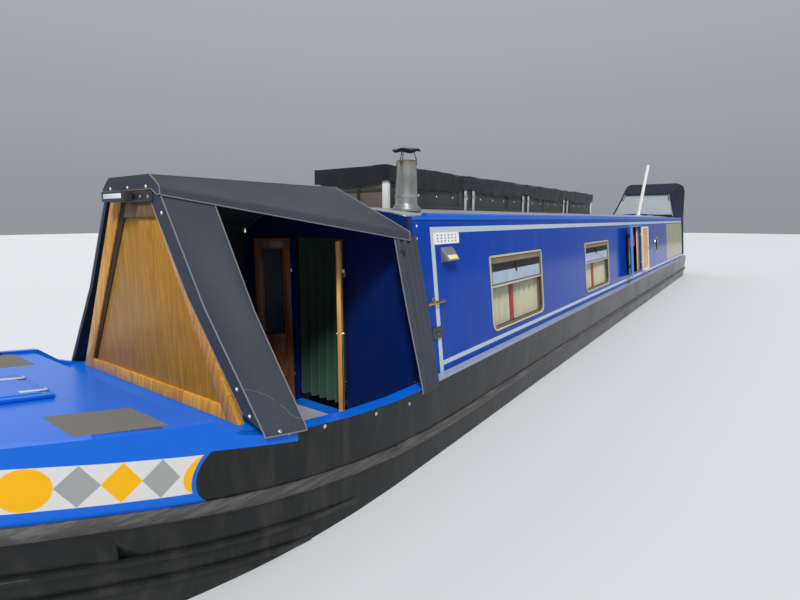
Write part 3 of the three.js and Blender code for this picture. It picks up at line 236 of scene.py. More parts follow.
# A painted disc and a painted diamond on a side, about a centre (x, 0, z), with radii along x and z.
for name, power in (("painted_disc", 2.0), ("painted_diamond", 1.0)):
    tree, given, made = group(
        name, {"Place": "Vector", "Centre": "Vector", "Along": "Float", "Up": "Float"}, {"Mask": "Float"})
    offset = node(tree, "ShaderNodeVectorMath", {0: given["Place"], 1: given["Centre"]}, operation="SUBTRACT")
    split = node(tree, "ShaderNodeSeparateXYZ", {"Vector": offset.outputs["Vector"]})
    shares = [
        maths(tree, "POWER", maths(tree, "ABSOLUTE",
                                   maths(tree, "DIVIDE", split.outputs[axis], given[radius])),
              power)
        for axis, radius in (("X", "Along"), ("Z", "Up"))]
    rim = maths(tree, "SUBTRACT", 1.0, maths(tree, "ADD", *shares))
    tree.links.new(maths(tree, "MULTIPLY", rim, 40.0, clamp=True), made["Mask"])

# A non-slip pad that follows the fore deck's edge on each side.
tree, given, made = group("edge_pad", {"Place": "Vector"}, {"Mask": "Float"})
axes = node(tree, "ShaderNodeSeparateXYZ", {"Vector": given["Place"]}).outputs
edge_half = maths(tree, "MULTIPLY_ADD", axes["X"], -0.184, 2.325)
from_edge = maths(tree, "SUBTRACT", edge_half, maths(tree, "ABSOLUTE", axes["Y"]))
along = shared(tree, "painted_line", {"Value": axes["X"], "Centre": 7.765, "Half": 0.155})["Mask"]
across = shared(tree, "painted_line", {"Value": from_edge, "Centre": 0.19, "Half": 0.19})["Mask"]
tree.links.new(maths(tree, "MULTIPLY", along, across), made["Mask"])

HULL_BLACK = (0.011, 0.012, 0.012, 1.0)
PAD_GREY = (0.17, 0.16, 0.145, 1.0)
HULL_RUBBED = (0.075, 0.07, 0.06, 1.0)
ROYAL_BLUE = (0.001, 0.040, 0.31, 1.0)
BRIGHT_BLUE = (0.002, 0.13, 0.66, 1.0)
GUNWALE_GREY = (0.30, 0.33, 0.40, 1.0)
FLASH_WHITE = (0.68, 0.67, 0.65, 1.0)
FLASH_YELLOW = (0.90, 0.45, 0.004, 1.0)
FLASH_GREY = (0.33, 0.34, 0.33, 1.0)
FLASH_BAND = {"half": 0.085, "slope": 0.25, "at": (7.55, 1.2175)}
FLASH_MARKS = [
    ("painted_diamond", 7.685, FLASH_GREY),
    ("painted_diamond", 7.815, FLASH_YELLOW),
    ("painted_diamond", 7.945, FLASH_GREY),
    ("painted_disc", 8.085, FLASH_YELLOW),
    ("painted_diamond", 8.24, FLASH_GREY),
    ("painted_diamond", 8.39, FLASH_YELLOW),
    ("painted_diamond", 8.53, FLASH_GREY),
]


def band_height(x):
    return FLASH_BAND["at"][1] + FLASH_BAND["slope"] * (x - FLASH_BAND["at"][0])


hull_paint, tree, shader, place = finish_of("hull_blacking", HULL_BLACK[:3], 0.3, IOR=1.32)
axes = node(tree, "ShaderNodeSeparateXYZ", {"Vector": place}).outputs
wear = shared(tree, "weathering", {"Place": place, "Scale": 1.7})
rubbed = shared(tree, "scuffs", {"Place": place, "Scale": 14.0, "Share": 0.10})["Mask"]
low_down = maths(tree, "MULTIPLY_ADD", axes["Z"], -2.2, 2.3, clamp=True)
rubbed = maths(tree, "MULTIPLY", maths(tree, "MULTIPLY", rubbed, low_down), 0.7)
colour = over(tree, rubbed, HULL_BLACK, HULL_RUBBED)
colour = over(tree, maths(tree, "MULTIPLY", wear["Runs"], 0.16), colour, (0.12, 0.11, 0.10, 1.0))

over_curve = maths(tree, "SUBTRACT", node(tree, "ShaderNodeClamp", {
    "Value": axes["X"], "Min": 5.5, "Max": 8.0}).outputs[0], 5.5)
past_curve = maths(tree, "MAXIMUM", maths(tree, "SUBTRACT", axes["X"], 8.0), 0.0)
strake_top = maths(tree, "MULTIPLY_ADD", maths(tree, "MULTIPLY", over_curve, over_curve), 0.0565, 0.835)
strake_top = maths(tree, "MULTIPLY_ADD", past_curve, 0.2, strake_top)
above_strake = node(tree, "ShaderNodeMath", {0: axes["Z"], 1: strake_top},
                    operation="GREATER_THAN").outputs[0]
across_band = maths(tree, "SUBTRACT", maths(tree, "MULTIPLY_ADD", axes["X"], -FLASH_BAND["slope"], axes["Z"]),
                    band_height(0.0))
in_band = shared(tree, "painted_line",
                 {"Value": across_band, "Centre": 0.0, "Half": FLASH_BAND["half"]})["Mask"]
flash_stop = node(tree, "ShaderNodeMath", {0: axes["X"], 1: 8.62}, operation="LESS_THAN").outputs[0]
in_band = maths(tree, "MULTIPLY", in_band, flash_stop)
leaning, upright = [
    node(tree, "ShaderNodeCombineXYZ", {
        "X": maths(tree, "MULTIPLY_ADD", across_band, lean, axes["X"]), "Z": across_band}).outputs["Vector"]
    for lean in (0.27, 0.06)]
for zone, start, along, up, mark in (
        (above_strake, 7.439, 0.115, 0.14, BRIGHT_BLUE), (in_band, 7.441, 0.130, 0.155, FLASH_YELLOW),
        (in_band, 7.512, 0.092, 0.0935, FLASH_WHITE)):
    scoop = shared(tree, "painted_disc", {
        "Place": leaning, "Centre": (start, 0.0, 0.0), "Along": along, "Up": up})["Mask"]
    along_flash = node(tree, "ShaderNodeSeparateXYZ", {"Vector": leaning}).outputs["X"]
    ahead = maths(tree, "SUBTRACT", maths(tree, "GREATER_THAN", along_flash, start), scoop, clamp=True)
    colour = over(tree, maths(tree, "MULTIPLY", ahead, zone), colour, mark)
by_flap = maths(tree, "GREATER_THAN", axes["X"], 7.07)
above_band = maths(tree, "GREATER_THAN", across_band, 0.0965)
colour = over(tree, maths(tree, "MULTIPLY", by_flap, above_band), colour, BRIGHT_BLUE)
for kind, x, mark in FLASH_MARKS:
    along = 0.074 if kind == "painted_disc" else 0.067
    shape = {"Place": upright, "Centre": (x, 0.0, 0.0), "Along": along, "Up": 0.084}
    colour = over(tree, shared(tree, kind, shape)["Mask"], colour, mark)

facing = node(tree, "ShaderNodeSeparateXYZ", {
    "Vector": node(tree, "ShaderNodeTexCoord").outputs["Normal"]}).outputs
level = maths(tree, "GREATER_THAN", facing["Z"], 0.4)
inward = maths(tree, "LESS_THAN", maths(tree, "MULTIPLY", facing["Y"], axes["Y"]), -0.15)
on_top = maths(tree, "MULTIPLY", maths(tree, "MAXIMUM", level, inward),
               maths(tree, "GREATER_THAN", axes["Z"], 1.1))
top_paint = over(tree, maths(tree, "LESS_THAN", axes["X"], 5.93), BRIGHT_BLUE, GUNWALE_GREY)
colour = over(tree, on_top, colour, top_paint)
feed(tree, shader, Base_Color=colour,
     Roughness=maths(tree, "MULTIPLY_ADD", wear["Clouds"], 0.3, 0.12),
     Normal=bumped(tree, maths(tree, "ADD", wear["Fine"], rubbed), 0.25, 0.002))

CURVED_PLATES = ["bow_side_port", "bow_side_starboard", "counter_side_port", "counter_side_starboard",
                 "swim_port", "swim_starboard", "stem_post"]
FLAT_PLATES = ["base_plate", "hull_side_port", "hull_side_starboard", "counter_plate", "stern_post", "rudder"]


def select_only(piece):
    deselect()
    piece.select_set(True)
    bpy.context.view_layer.objects.active = piece


def welded(name, finish, angle=35.0):
    """A welded copy of a node, shaded smooth across its shallow facets, in the node's place."""
    source = frame["nodes"][name]
    made = bpy.data.objects.new(name + "_plate", source.data.copy())
    bpy.context.scene.collection.objects.link(made)
    select_only(made)
    bpy.ops.object.mode_set(mode="EDIT")
    bpy.ops.mesh.select_all(action="SELECT")
    bpy.ops.mesh.remove_doubles(threshold=0.00005)
    bpy.ops.object.mode_set(mode="OBJECT")
    bpy.ops.object.shade_smooth_by_angle(angle=math.radians(angle))
    made.data.materials.clear()
    made.data.materials.append(finish)
    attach(made, source["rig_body"])
    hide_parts(name)
    return made


def paint_nodes(names, finish):
    for name in names:
        materials = frame["nodes"][name].data.materials
        for index in range(len(materials)):
            materials[index] = finish


for name in CURVED_PLATES:
    welded(name, hull_paint, 18.0)
paint_nodes(FLAT_PLATES, hull_paint)

# Rubbing strakes: heavy steel bars welded along the sides, which take the knocks. Their blacking is scraped
# to grey along the outer face.
strake_paint, tree, shader, place = finish_of("strake_blacking", (0.035, 0.036, 0.038), 0.5, 0.2)
scraped = shared(tree, "scuffs", {"Place": place, "Scale": 26.0, "Share": 0.24})["Mask"]
wear = shared(tree, "weathering", {"Place": place, "Scale": 3.0})
colour = over(tree, maths(tree, "MULTIPLY", scraped, 0.5), (0.050, 0.050, 0.053, 1.0),
              (0.17, 0.17, 0.175, 1.0))
colour = over(tree, maths(tree, "MULTIPLY", wear["Clouds"], 0.25), colour, (0.12, 0.08, 0.06, 1.0))
feed(tree, shader, Base_Color=colour, Roughness=maths(tree, "MULTIPLY_ADD", wear["Clouds"], 0.35, 0.35),
     Normal=bumped(tree, scraped, 0.4, 0.002))
for side in ("port", "starboard"):
    for length in ("rubbing_strake_", "bow_strake_"):
        welded(length + side, strake_paint)

# Decks: the bright blue fore deck and aft deck with grey non-slip pads, the well floor in satin grey paint,
# boards over the engine and in the cabin.
DECK_PADS = [(8.26, 8.52, 0.06, 0.36)]

deck_paint, tree, shader, place = finish_of("deck_paint", BRIGHT_BLUE[:3], 0.32, IOR=1.22)
axes = node(tree, "ShaderNodeSeparateXYZ", {"Vector": place}).outputs
wear = shared(tree, "weathering", {"Place": place, "Scale": 3.0})
grit = node(tree, "ShaderNodeTexVoronoi", {"Vector": place, "Scale": 420.0})
pads = shared(tree, "edge_pad", {"Place": place})["Mask"]
for fore_edge, aft_edge, inner, outer in DECK_PADS:
    along = shared(tree, "painted_line", {
        "Value": axes["X"], "Centre": (fore_edge + aft_edge) / 2,
        "Half": abs(aft_edge - fore_edge) / 2})["Mask"]
    across = shared(tree, "painted_line", {
        "Value": maths(tree, "ABSOLUTE", axes["Y"]), "Centre": (inner + outer) / 2,
        "Half": (outer - inner) / 2})["Mask"]
    pads = maths(tree, "MAXIMUM", pads, maths(tree, "MULTIPLY", along, across))
colour = over(tree, maths(tree, "MULTIPLY", wear["Clouds"], 0.35), BRIGHT_BLUE, (0.02, 0.13, 0.46, 1.0))
colour = over(tree, pads, colour, PAD_GREY)
pad_grit = maths(tree, "MULTIPLY", grit.outputs["Distance"], pads)
feed(tree, shader, Base_Color=colour, Roughness=maths(tree, "MULTIPLY_ADD", pads, 0.5, 0.3),
     Normal=bumped(tree, maths(tree, "ADD", pad_grit, maths(tree, "MULTIPLY", wear["Fine"], 0.15)), 0.5,
                   0.0015))
paint_nodes(["fore_deck", "locker_bulkhead", "hull_bulkhead", "aft_deck"], deck_paint)

satin_deck, tree, shader, place = finish_of("satin_deck_paint", (0.33, 0.35, 0.37), 0.55)
wear = shared(tree, "weathering", {"Place": place, "Scale": 2.5})
grit = node(tree, "ShaderNodeTexVoronoi", {"Vector": place, "Scale": 260.0})
colour = over(tree, wear["Clouds"], (0.25, 0.26, 0.27, 1.0), (0.40, 0.41, 0.42, 1.0))
feed(tree, shader, Base_Color=colour, Normal=bumped(tree, grit.outputs["Distance"], 0.35, 0.002))
paint_nodes(["well_deck", "stern_deck"], satin_deck)

# Wood grain: long figure drawn out along x, with fine pores; a Mapping node turns it to the board's length.
tree, given, made = group("wood_grain", {"Place": "Vector", "Scale": "Float"},
                          {"Tone": "Float", "Pores": "Float"})
drawn = node(tree, "ShaderNodeMapping", {"Vector": given["Place"], "Scale": (0.09, 1.0, 1.0)})
figure = node(tree, "ShaderNodeTexNoise", {"Vector": drawn.outputs["Vector"], "Scale": given["Scale"],
                                           "Detail": 5.0, "Distortion": 0.8})
rings = maths(tree, "SINE", maths(tree, "MULTIPLY", figure.outputs["Fac"], 55.0))
tree.links.new(maths(tree, "MULTIPLY_ADD", rings, 0.28, figure.outputs["Fac"], clamp=True), made["Tone"])
pore = node(tree, "ShaderNodeTexNoise", {"Vector": drawn.outputs["Vector"], "Scale": 260.0, "Detail": 2.0})
tree.links.new(pore.outputs["Fac"], made["Pores"])


def wooden(name, dark, light, grain_turn=(0.0, 0.0, 0.0), boards=None, gloss=0.35, scale=9.0):
    """Varnished or oiled wood; boards is (axis, width) for the dark joints between planks."""
    made, tree, shader, place = finish_of(name, light, gloss, IOR=1.35)
    turned_place = node(tree, "ShaderNodeMapping", {
        "Vector": place, "Rotation": [math.radians(a) for a in grain_turn]}).outputs["Vector"]
    grain = shared(tree, "wood_grain", {"Place": turned_place, "Scale": scale})
    colour = over(tree, grain["Tone"], (*dark, 1.0), (*light, 1.0))
    height = maths(tree, "MULTIPLY", grain["Pores"], 0.3)
    if boards:
        axis, width = boards
        across = node(tree, "ShaderNodeSeparateXYZ", {"Vector": place}).outputs[axis]
        joint = shared(tree, "painted_line", {
            "Value": maths(tree, "PINGPONG", across, width / 2), "Centre": 0.0, "Half": 0.0025})["Mask"]
        colour = over(tree, joint, colour, tuple(0.25 * c for c in dark) + (1.0,))
        height = maths(tree, "SUBTRACT", height, joint)
    feed(tree, shader, Base_Color=colour, Normal=bumped(tree, height, 0.4, 0.0015))
    return made


floor_boards = wooden("oiled_boards", (0.13, 0.075, 0.04), (0.30, 0.19, 0.10), boards=("Y", 0.14), gloss=0.55)
paint_nodes(["cabin_floor"], floor_boards)
engine_paint, tree, shader, place = finish_of("engine_enamel", (0.03, 0.12, 0.05), 0.4)
wear = shared(tree, "weathering", {"Place": place, "Scale": 5.0})
feed(tree, shader, Base_Color=over(tree, wear["Runs"], (0.03, 0.12, 0.05, 1.0), (0.05, 0.05, 0.035, 1.0)),
     Normal=bumped(tree, wear["Fine"], 0.2, 0.002))
paint_nodes(["engine"], engine_paint)

# Locker lid: a steel plate over the gas locker, with a turned edge, two strap hinges at its aft edge and a
# ring pull let into it.
LID_MARGIN = 0.035


def bar(low, high, round_off=0.003, segments=2):
    """A bar, board or plate between two corners, its edges rounded off."""
    deselect()
    bpy.ops.mesh.primitive_cube_add(size=1.0, location=[(a + b) / 2 for a, b in zip(low, high)])
    made = bpy.context.object
    made.scale = [abs(b - a) for a, b in zip(low, high)]
    bpy.ops.object.transform_apply(location=True, rotation=True, scale=True)
    bpy.ops.object.mode_set(mode="EDIT")
    bpy.ops.mesh.select_all(action="SELECT")
    bpy.ops.mesh.bevel(offset=round_off, segments=segments, affect="EDGES")
    bpy.ops.object.mode_set(mode="OBJECT")
    return made


def turned(profile, steps=32, place=None):
    """A part turned on a lathe: (radius, height) points spun about z, then set in its place."""
    mesh = bpy.data.meshes.new("turned")
    mesh.from_pydata([(r, 0.0, z) for r, z in profile], [(i, i + 1) for i in range(len(profile) - 1)], [])
    made = bpy.data.objects.new("turned", mesh)
    bpy.context.scene.collection.objects.link(made)
    select_only(made)
    bpy.ops.object.mode_set(mode="EDIT")
    bpy.ops.mesh.select_all(action="SELECT")
    bpy.ops.mesh.spin(steps=steps, angle=math.tau, center=(0.0, 0.0, 0.0), axis=(0.0, 0.0, 1.0))
    bpy.ops.mesh.select_all(action="SELECT")
    bpy.ops.mesh.remove_doubles(threshold=0.00002)
    bpy.ops.mesh.normals_make_consistent(inside=False)
    bpy.ops.object.mode_set(mode="OBJECT")
    if place is not None:
        made.data.transform(place)
    return made


def tube(points, radius, sides=8, closed=False):
    """A round rod or piping along points."""
    deselect()
    line = bpy.data.curves.new("tube", "CURVE")
    line.dimensions = "3D"
    line.bevel_depth = radius
    line.bevel_resolution = max(0, sides // 4 - 1)
    line.use_fill_caps = True
    spline = line.splines.new("POLY")
    spline.points.add(len(points) - 1)
    for point, where in zip(spline.points, points):
        point.co = (*where, 1.0)
    spline.use_cyclic_u = closed
    made = bpy.data.objects.new("tube", line)
    bpy.context.scene.collection.objects.link(made)
    select_only(made)
    bpy.ops.object.convert(target="MESH")
    return bpy.context.object


def joined(parts):
    deselect()
    for part in parts:
        part.select_set(True)
    bpy.context.view_layer.objects.active = parts[0]
    if len(parts) > 1:
        bpy.ops.object.join()
    return bpy.context.object


def painted(piece, finish):
    piece.data.materials.clear()
    piece.data.materials.append(finish)
    return piece


def settle(piece, name, body, finish=None, place=None, smooth=35.0):
    """Names a finished piece, sets it in its place and lets it ride."""
    piece.name = name
    if place is not None:
        piece.data.transform(place)
    if finish is not None:
        painted(piece, finish)
    select_only(piece)
    bpy.ops.object.transform_apply(location=True, rotation=True, scale=True)
    bpy.ops.object.shade_smooth_by_angle(angle=math.radians(smooth))
    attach(piece, body)
    return piece


def surface(name, start, towards):
    """The first point of a CAD node met from a start in a direction, with its normal."""
    mesh = frame["nodes"][name].data
    tree = BVHTree.FromPolygons([v.co for v in mesh.vertices], [p.vertices[:] for p in mesh.polygons])
    point, normal, _, _ = tree.ray_cast(Vector(start), Vector(towards))
    return point, normal


stainless, tree, shader, place = finish_of("stainless", (0.62, 0.62, 0.61), 0.28, 1.0)
brushed_way = node(tree, "ShaderNodeMapping", {"Vector": place, "Scale": (1.0, 1.0, 0.05)})
brushing = node(tree, "ShaderNodeTexNoise", {"Vector": brushed_way.outputs["Vector"], "Scale": 240.0})
feed(tree, shader, Roughness=maths(tree, "MULTIPLY_ADD", brushing.outputs["Fac"], 0.25, 0.16),
     Normal=bumped(tree, brushing.outputs["Fac"], 0.08, 0.001))

lid_low, lid_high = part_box("locker_lid")
lid_slope = math.atan2(0.15 * (lid_high.x - lid_low.x), lid_high.x - lid_low.x)
lid_length = (lid_high.x - lid_low.x) / math.cos(lid_slope)
lid_thick = 0.022
lid = bar((0.0, lid_low.y, 0.0), (lid_length, lid_high.y, lid_thick - 0.004), 0.004)
bpy.ops.object.mode_set(mode="EDIT")
bpy.ops.mesh.select_mode(type="FACE")
bpy.ops.mesh.select_all(action="DESELECT")
lid_shape = bmesh.from_edit_mesh(lid.data)
for face in lid_shape.faces:
    face.select_set(face.normal.z > 0.99)
bmesh.update_edit_mesh(lid.data)
bpy.ops.mesh.inset(thickness=LID_MARGIN, depth=0.0)
bpy.ops.mesh.inset(thickness=0.004, depth=0.004)
bpy.ops.object.mode_set(mode="OBJECT")
painted(lid, deck_paint)
lid_parts = [lid]
for y in (-0.14, 0.14):
    strap = bar((0.0, y - 0.018, lid_thick - 0.003), (0.11, y + 0.018, lid_thick + 0.001), 0.0015)
    knuckle = tube([(0.006, y - 0.02, lid_thick), (0.006, y + 0.02, lid_thick)], 0.005, 12)
    lid_parts += [painted(strap, stainless), painted(knuckle, stainless)]
ring = [(lid_length - 0.075 + 0.02 * math.cos(math.tau * i / 20), 0.02 * math.sin(math.tau * i / 20),
         lid_thick + 0.001) for i in range(20)]
lid_parts.append(painted(tube(ring, 0.003, 8, closed=True), stainless))
lid_place = Matrix.Translation((lid_low.x, 0.0, lid_low.z)) @ Matrix.Rotation(-lid_slope, 4, "Y")
lid = settle(joined(lid_parts), "locker_lid_plate", "locker_lid", place=lid_place)
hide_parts("locker_lid")

# Cabin: welded steel sides that lean inwards, in deep gloss royal blue with pale coach lines and a plain
# cream panel at the stern end, lined inside with ply. The roof is grey on top between its blue handrails.
CABIN_FOOT = (0.94, 1.15)
CABIN_TOP = (0.83, 2.235)
SIDE_LEAN = math.atan2(CABIN_FOOT[0] - CABIN_TOP[0], CABIN_TOP[1] - CABIN_FOOT[1])
CREAM = (0.31, 0.30, 0.165, 1.0)
COACH_LINE = (0.43, 0.51, 0.55, 1.0)
LINING = (0.33, 0.19, 0.085, 1.0)
COACH_FRONT = 5.63
COACH_BACK = -5.1
CREAM_Z = (1.26, 2.12)

cabin_paint, tree, shader, place = finish_of("coach_enamel", ROYAL_BLUE[:3], 0.14, IOR=1.2)
axes = node(tree, "ShaderNodeSeparateXYZ", {"Vector": place}).outputs
wear = shared(tree, "weathering", {"Place": place, "Scale": 0.9})
outward = maths(tree, "ABSOLUTE", axes["Y"])


def between(value, low, high):
    line = {"Value": value, "Centre": (low + high) / 2, "Half": (high - low) / 2}
    return shared(tree, "painted_line", line)["Mask"]


colour = over(tree, maths(tree, "MULTIPLY", wear["Clouds"], 0.4), ROYAL_BLUE, (0.002, 0.060, 0.38, 1.0))
colour = over(tree, maths(tree, "MULTIPLY", wear["Runs"], 0.05), colour, (0.20, 0.22, 0.24, 1.0))
below_rail = between(axes["Z"], 1.0, 2.185)
edge_lines = maths(tree, "MAXIMUM", between(axes["Z"], 2.14, 2.185), between(axes["Z"], 1.195, 1.23))
edge_lines = maths(tree, "MAXIMUM", edge_lines, between(axes["X"], COACH_FRONT - 0.025, COACH_FRONT + 0.025))
inside_front = between(axes["X"], -9.0, COACH_FRONT + 0.025)
edge_lines = maths(tree, "MULTIPLY", maths(tree, "MULTIPLY", edge_lines, inside_front), below_rail)
cream = maths(tree, "MULTIPLY", between(axes["X"], -8.2, COACH_BACK), between(axes["Z"], *CREAM_Z))
stained = over(tree, maths(tree, "MULTIPLY", wear["Runs"], 0.5), CREAM, (0.23, 0.21, 0.13, 1.0))
colour = over(tree, cream, colour, stained)
colour = over(tree, edge_lines, colour, COACH_LINE)
lean = math.tan(SIDE_LEAN)
outer_half = maths(tree, "MULTIPLY_ADD", axes["Z"], -lean, CABIN_FOOT[0] + lean * CABIN_FOOT[1])
lined = node(tree, "ShaderNodeMath", {
    0: maths(tree, "SUBTRACT", outer_half, outward), 1: 0.02}, operation="GREATER_THAN").outputs[0]
under_roof = node(tree, "ShaderNodeMath", {0: axes["Z"], 1: 2.232}, operation="LESS_THAN").outputs[0]
lined = maths(tree, "MULTIPLY", lined, under_roof)
colour = over(tree, lined, colour, LINING)
feed(tree, shader, Base_Color=colour,
     Roughness=maths(tree, "MULTIPLY_ADD", wear["Fine"], 0.10, maths(tree, "MULTIPLY_ADD", lined, 0.4, 0.09)),
     Normal=bumped(tree, wear["Clouds"], 0.03, 0.02))
paint_nodes(["cabin_side_port", "cabin_side_starboard"], cabin_paint)

roof_paint, tree, shader, place = finish_of("roof_paint", ROYAL_BLUE[:3], 0.3, IOR=1.38)
axes = node(tree, "ShaderNodeSeparateXYZ", {"Vector": place}).outputs
wear = shared(tree, "weathering", {"Place": place, "Scale": 2.2})
on_deck = node(tree, "ShaderNodeMath", {
    0: maths(tree, "ABSOLUTE", axes["Y"]), 1: 0.78}, operation="LESS_THAN").outputs[0]
grey = over(tree, wear["Clouds"], (0.20, 0.215, 0.23, 1.0), (0.34, 0.35, 0.35, 1.0))
grey = over(tree, maths(tree, "MULTIPLY", wear["Fine"], 0.25), grey, (0.16, 0.15, 0.12, 1.0))
rail_blue = over(tree, wear["Clouds"], BRIGHT_BLUE, (0.01, 0.09, 0.50, 1.0))
grit = node(tree, "ShaderNodeTexVoronoi", {"Vector": place, "Scale": 300.0})
grit_height = maths(tree, "MULTIPLY", grit.outputs["Distance"], on_deck)
feed(tree, shader, Base_Color=over(tree, on_deck, rail_blue, grey),
     Roughness=maths(tree, "MULTIPLY_ADD", on_deck, 0.4, 0.2), Normal=bumped(tree, grit_height, 0.3, 0.0015))
paint_nodes(["cabin_roof"], roof_paint)


def side_place(x, sign, z=CABIN_FOOT[1]):
    """On a cabin side: its x runs along the side, its y up the slope and its z straight out."""
    out = Vector((0.0, sign * math.cos(SIDE_LEAN), math.sin(SIDE_LEAN)))
    up = Vector((0.0, -sign * math.sin(SIDE_LEAN), math.cos(SIDE_LEAN)))
    made = Matrix((Vector((-sign, 0.0, 0.0)), up, out)).transposed().to_4x4()
    half = CABIN_FOOT[0] - lean * (z - CABIN_FOOT[1])
    made.translation = (x, sign * half, z)
    return made


# Windows: gold anodised frames screwed to the sides, each with a hopper light over a fixed pane, rubber
# seals, tinted glass and pleated curtains with a red edge hung inside.
WINDOW_AT = {"fore": 4.15, "aft": 1.325}
WINDOW_WIDTH = 1.2
WINDOW_LOW = (1.29 - CABIN_FOOT[1]) / math.cos(SIDE_LEAN)
WINDOW_HIGH = (1.915 - CABIN_FOOT[1]) / math.cos(SIDE_LEAN)
FLANGE = 0.014
HOPPER_SHARE = 0.41

gold, tree, shader, place = finish_of("gold_anodised", (0.62, 0.56, 0.44), 0.3, 0.4)
wear = shared(tree, "weathering", {"Place": place, "Scale": 6.0})
feed(tree, shader, Base_Color=over(tree, maths(tree, "MULTIPLY", wear["Clouds"], 0.6),
                                   (0.68, 0.63, 0.52, 1.0),
                                   (0.46, 0.39, 0.25, 1.0)),
     Roughness=maths(tree, "MULTIPLY_ADD", wear["Fine"], 0.25, 0.2))
bronzed = clouded("bronzed_trim", (0.20, 0.135, 0.06), 0.38, 8.0,
                  ((0.15, 0.095, 0.04), (0.34, 0.24, 0.12)), 0.4)
lining_wood = wooden("window_lining", (0.17, 0.085, 0.028), (0.40, 0.22, 0.085), gloss=0.4)
rubber, tree, shader, place = finish_of("black_rubber", (0.012, 0.012, 0.012), 0.75)
wear = shared(tree, "weathering", {"Place": place, "Scale": 20.0})
feed(tree, shader, Roughness=maths(tree, "MULTIPLY_ADD", wear["Clouds"], 0.2, 0.6))
glass, tree, shader, place = finish_of("window_glass", (0.10, 0.13, 0.13), 0.04, Alpha=0.14, IOR=1.45)
smear = shared(tree, "weathering", {"Place": place, "Scale": 4.0})
feed(tree, shader, Roughness=maths(tree, "MULTIPLY_ADD", smear["Clouds"], 0.05, 0.01))
frosted = clouded("frosted_glass", (0.36, 0.45, 0.58), 0.22, 9.0,
                  ((0.28, 0.37, 0.50), (0.50, 0.58, 0.68)), Alpha=0.86, IOR=1.45)


def edit_where(piece, kind, test):
    """Opens a piece for editing with only the vertices, edges or faces that pass a test selected."""
    select_only(piece)
    bpy.ops.object.mode_set(mode="EDIT")
    bpy.ops.mesh.select_mode(type={"verts": "VERT", "edges": "EDGE", "faces": "FACE"}[kind])
    bpy.ops.mesh.select_all(action="DESELECT")
    shape = bmesh.from_edit_mesh(piece.data)
    for part in getattr(shape, kind):
        part.select_set(bool(test(part)))
    shape.select_flush_mode()
    bmesh.update_edit_mesh(piece.data)


def modified(piece, kind, **settings):
    """Adds one modifier and applies it."""
    select_only(piece)
    modifier = piece.modifiers.new(kind.lower(), kind)
    for key, value in settings.items():
        setattr(modifier, key, value)
    bpy.ops.object.modifier_apply(modifier=modifier.name)
    return piece


def rounded_pane(width, low, high, corners, at=0.0):
    """A flat pane with round corners, (top radius, foot radius), facing out."""
    deselect()
    middle = (low + high) / 2
    bpy.ops.mesh.primitive_plane_add(size=1.0, location=(0.0, middle, at))
    pane = bpy.context.object
    pane.scale = (width, high - low, 1.0)
    bpy.ops.object.transform_apply(location=True, rotation=True, scale=True)
    for above, radius in zip((True, False), corners):
        edit_where(pane, "verts", lambda v: (v.co.y > middle) == above)
        bpy.ops.mesh.bevel(offset=radius, segments=6, affect="VERTICES")
        bpy.ops.object.mode_set(mode="OBJECT")
    return pane


def rounded_frame(width, low, high, corners, rim, at, depth):
    """A flat frame with round corners, its middle cut out, standing out by its depth."""
    made = rounded_pane(width, low, high, corners, at)
    edit_where(made, "faces", lambda face: True)
    bpy.ops.mesh.inset(thickness=rim)
    bpy.ops.mesh.delete(type="FACE")
    bpy.ops.object.mode_set(mode="OBJECT")
    modified(made, "SOLIDIFY", thickness=depth, offset=1.0)
    return modified(made, "BEVEL", width=min(0.0015, depth / 3), segments=2, limit_method="ANGLE")


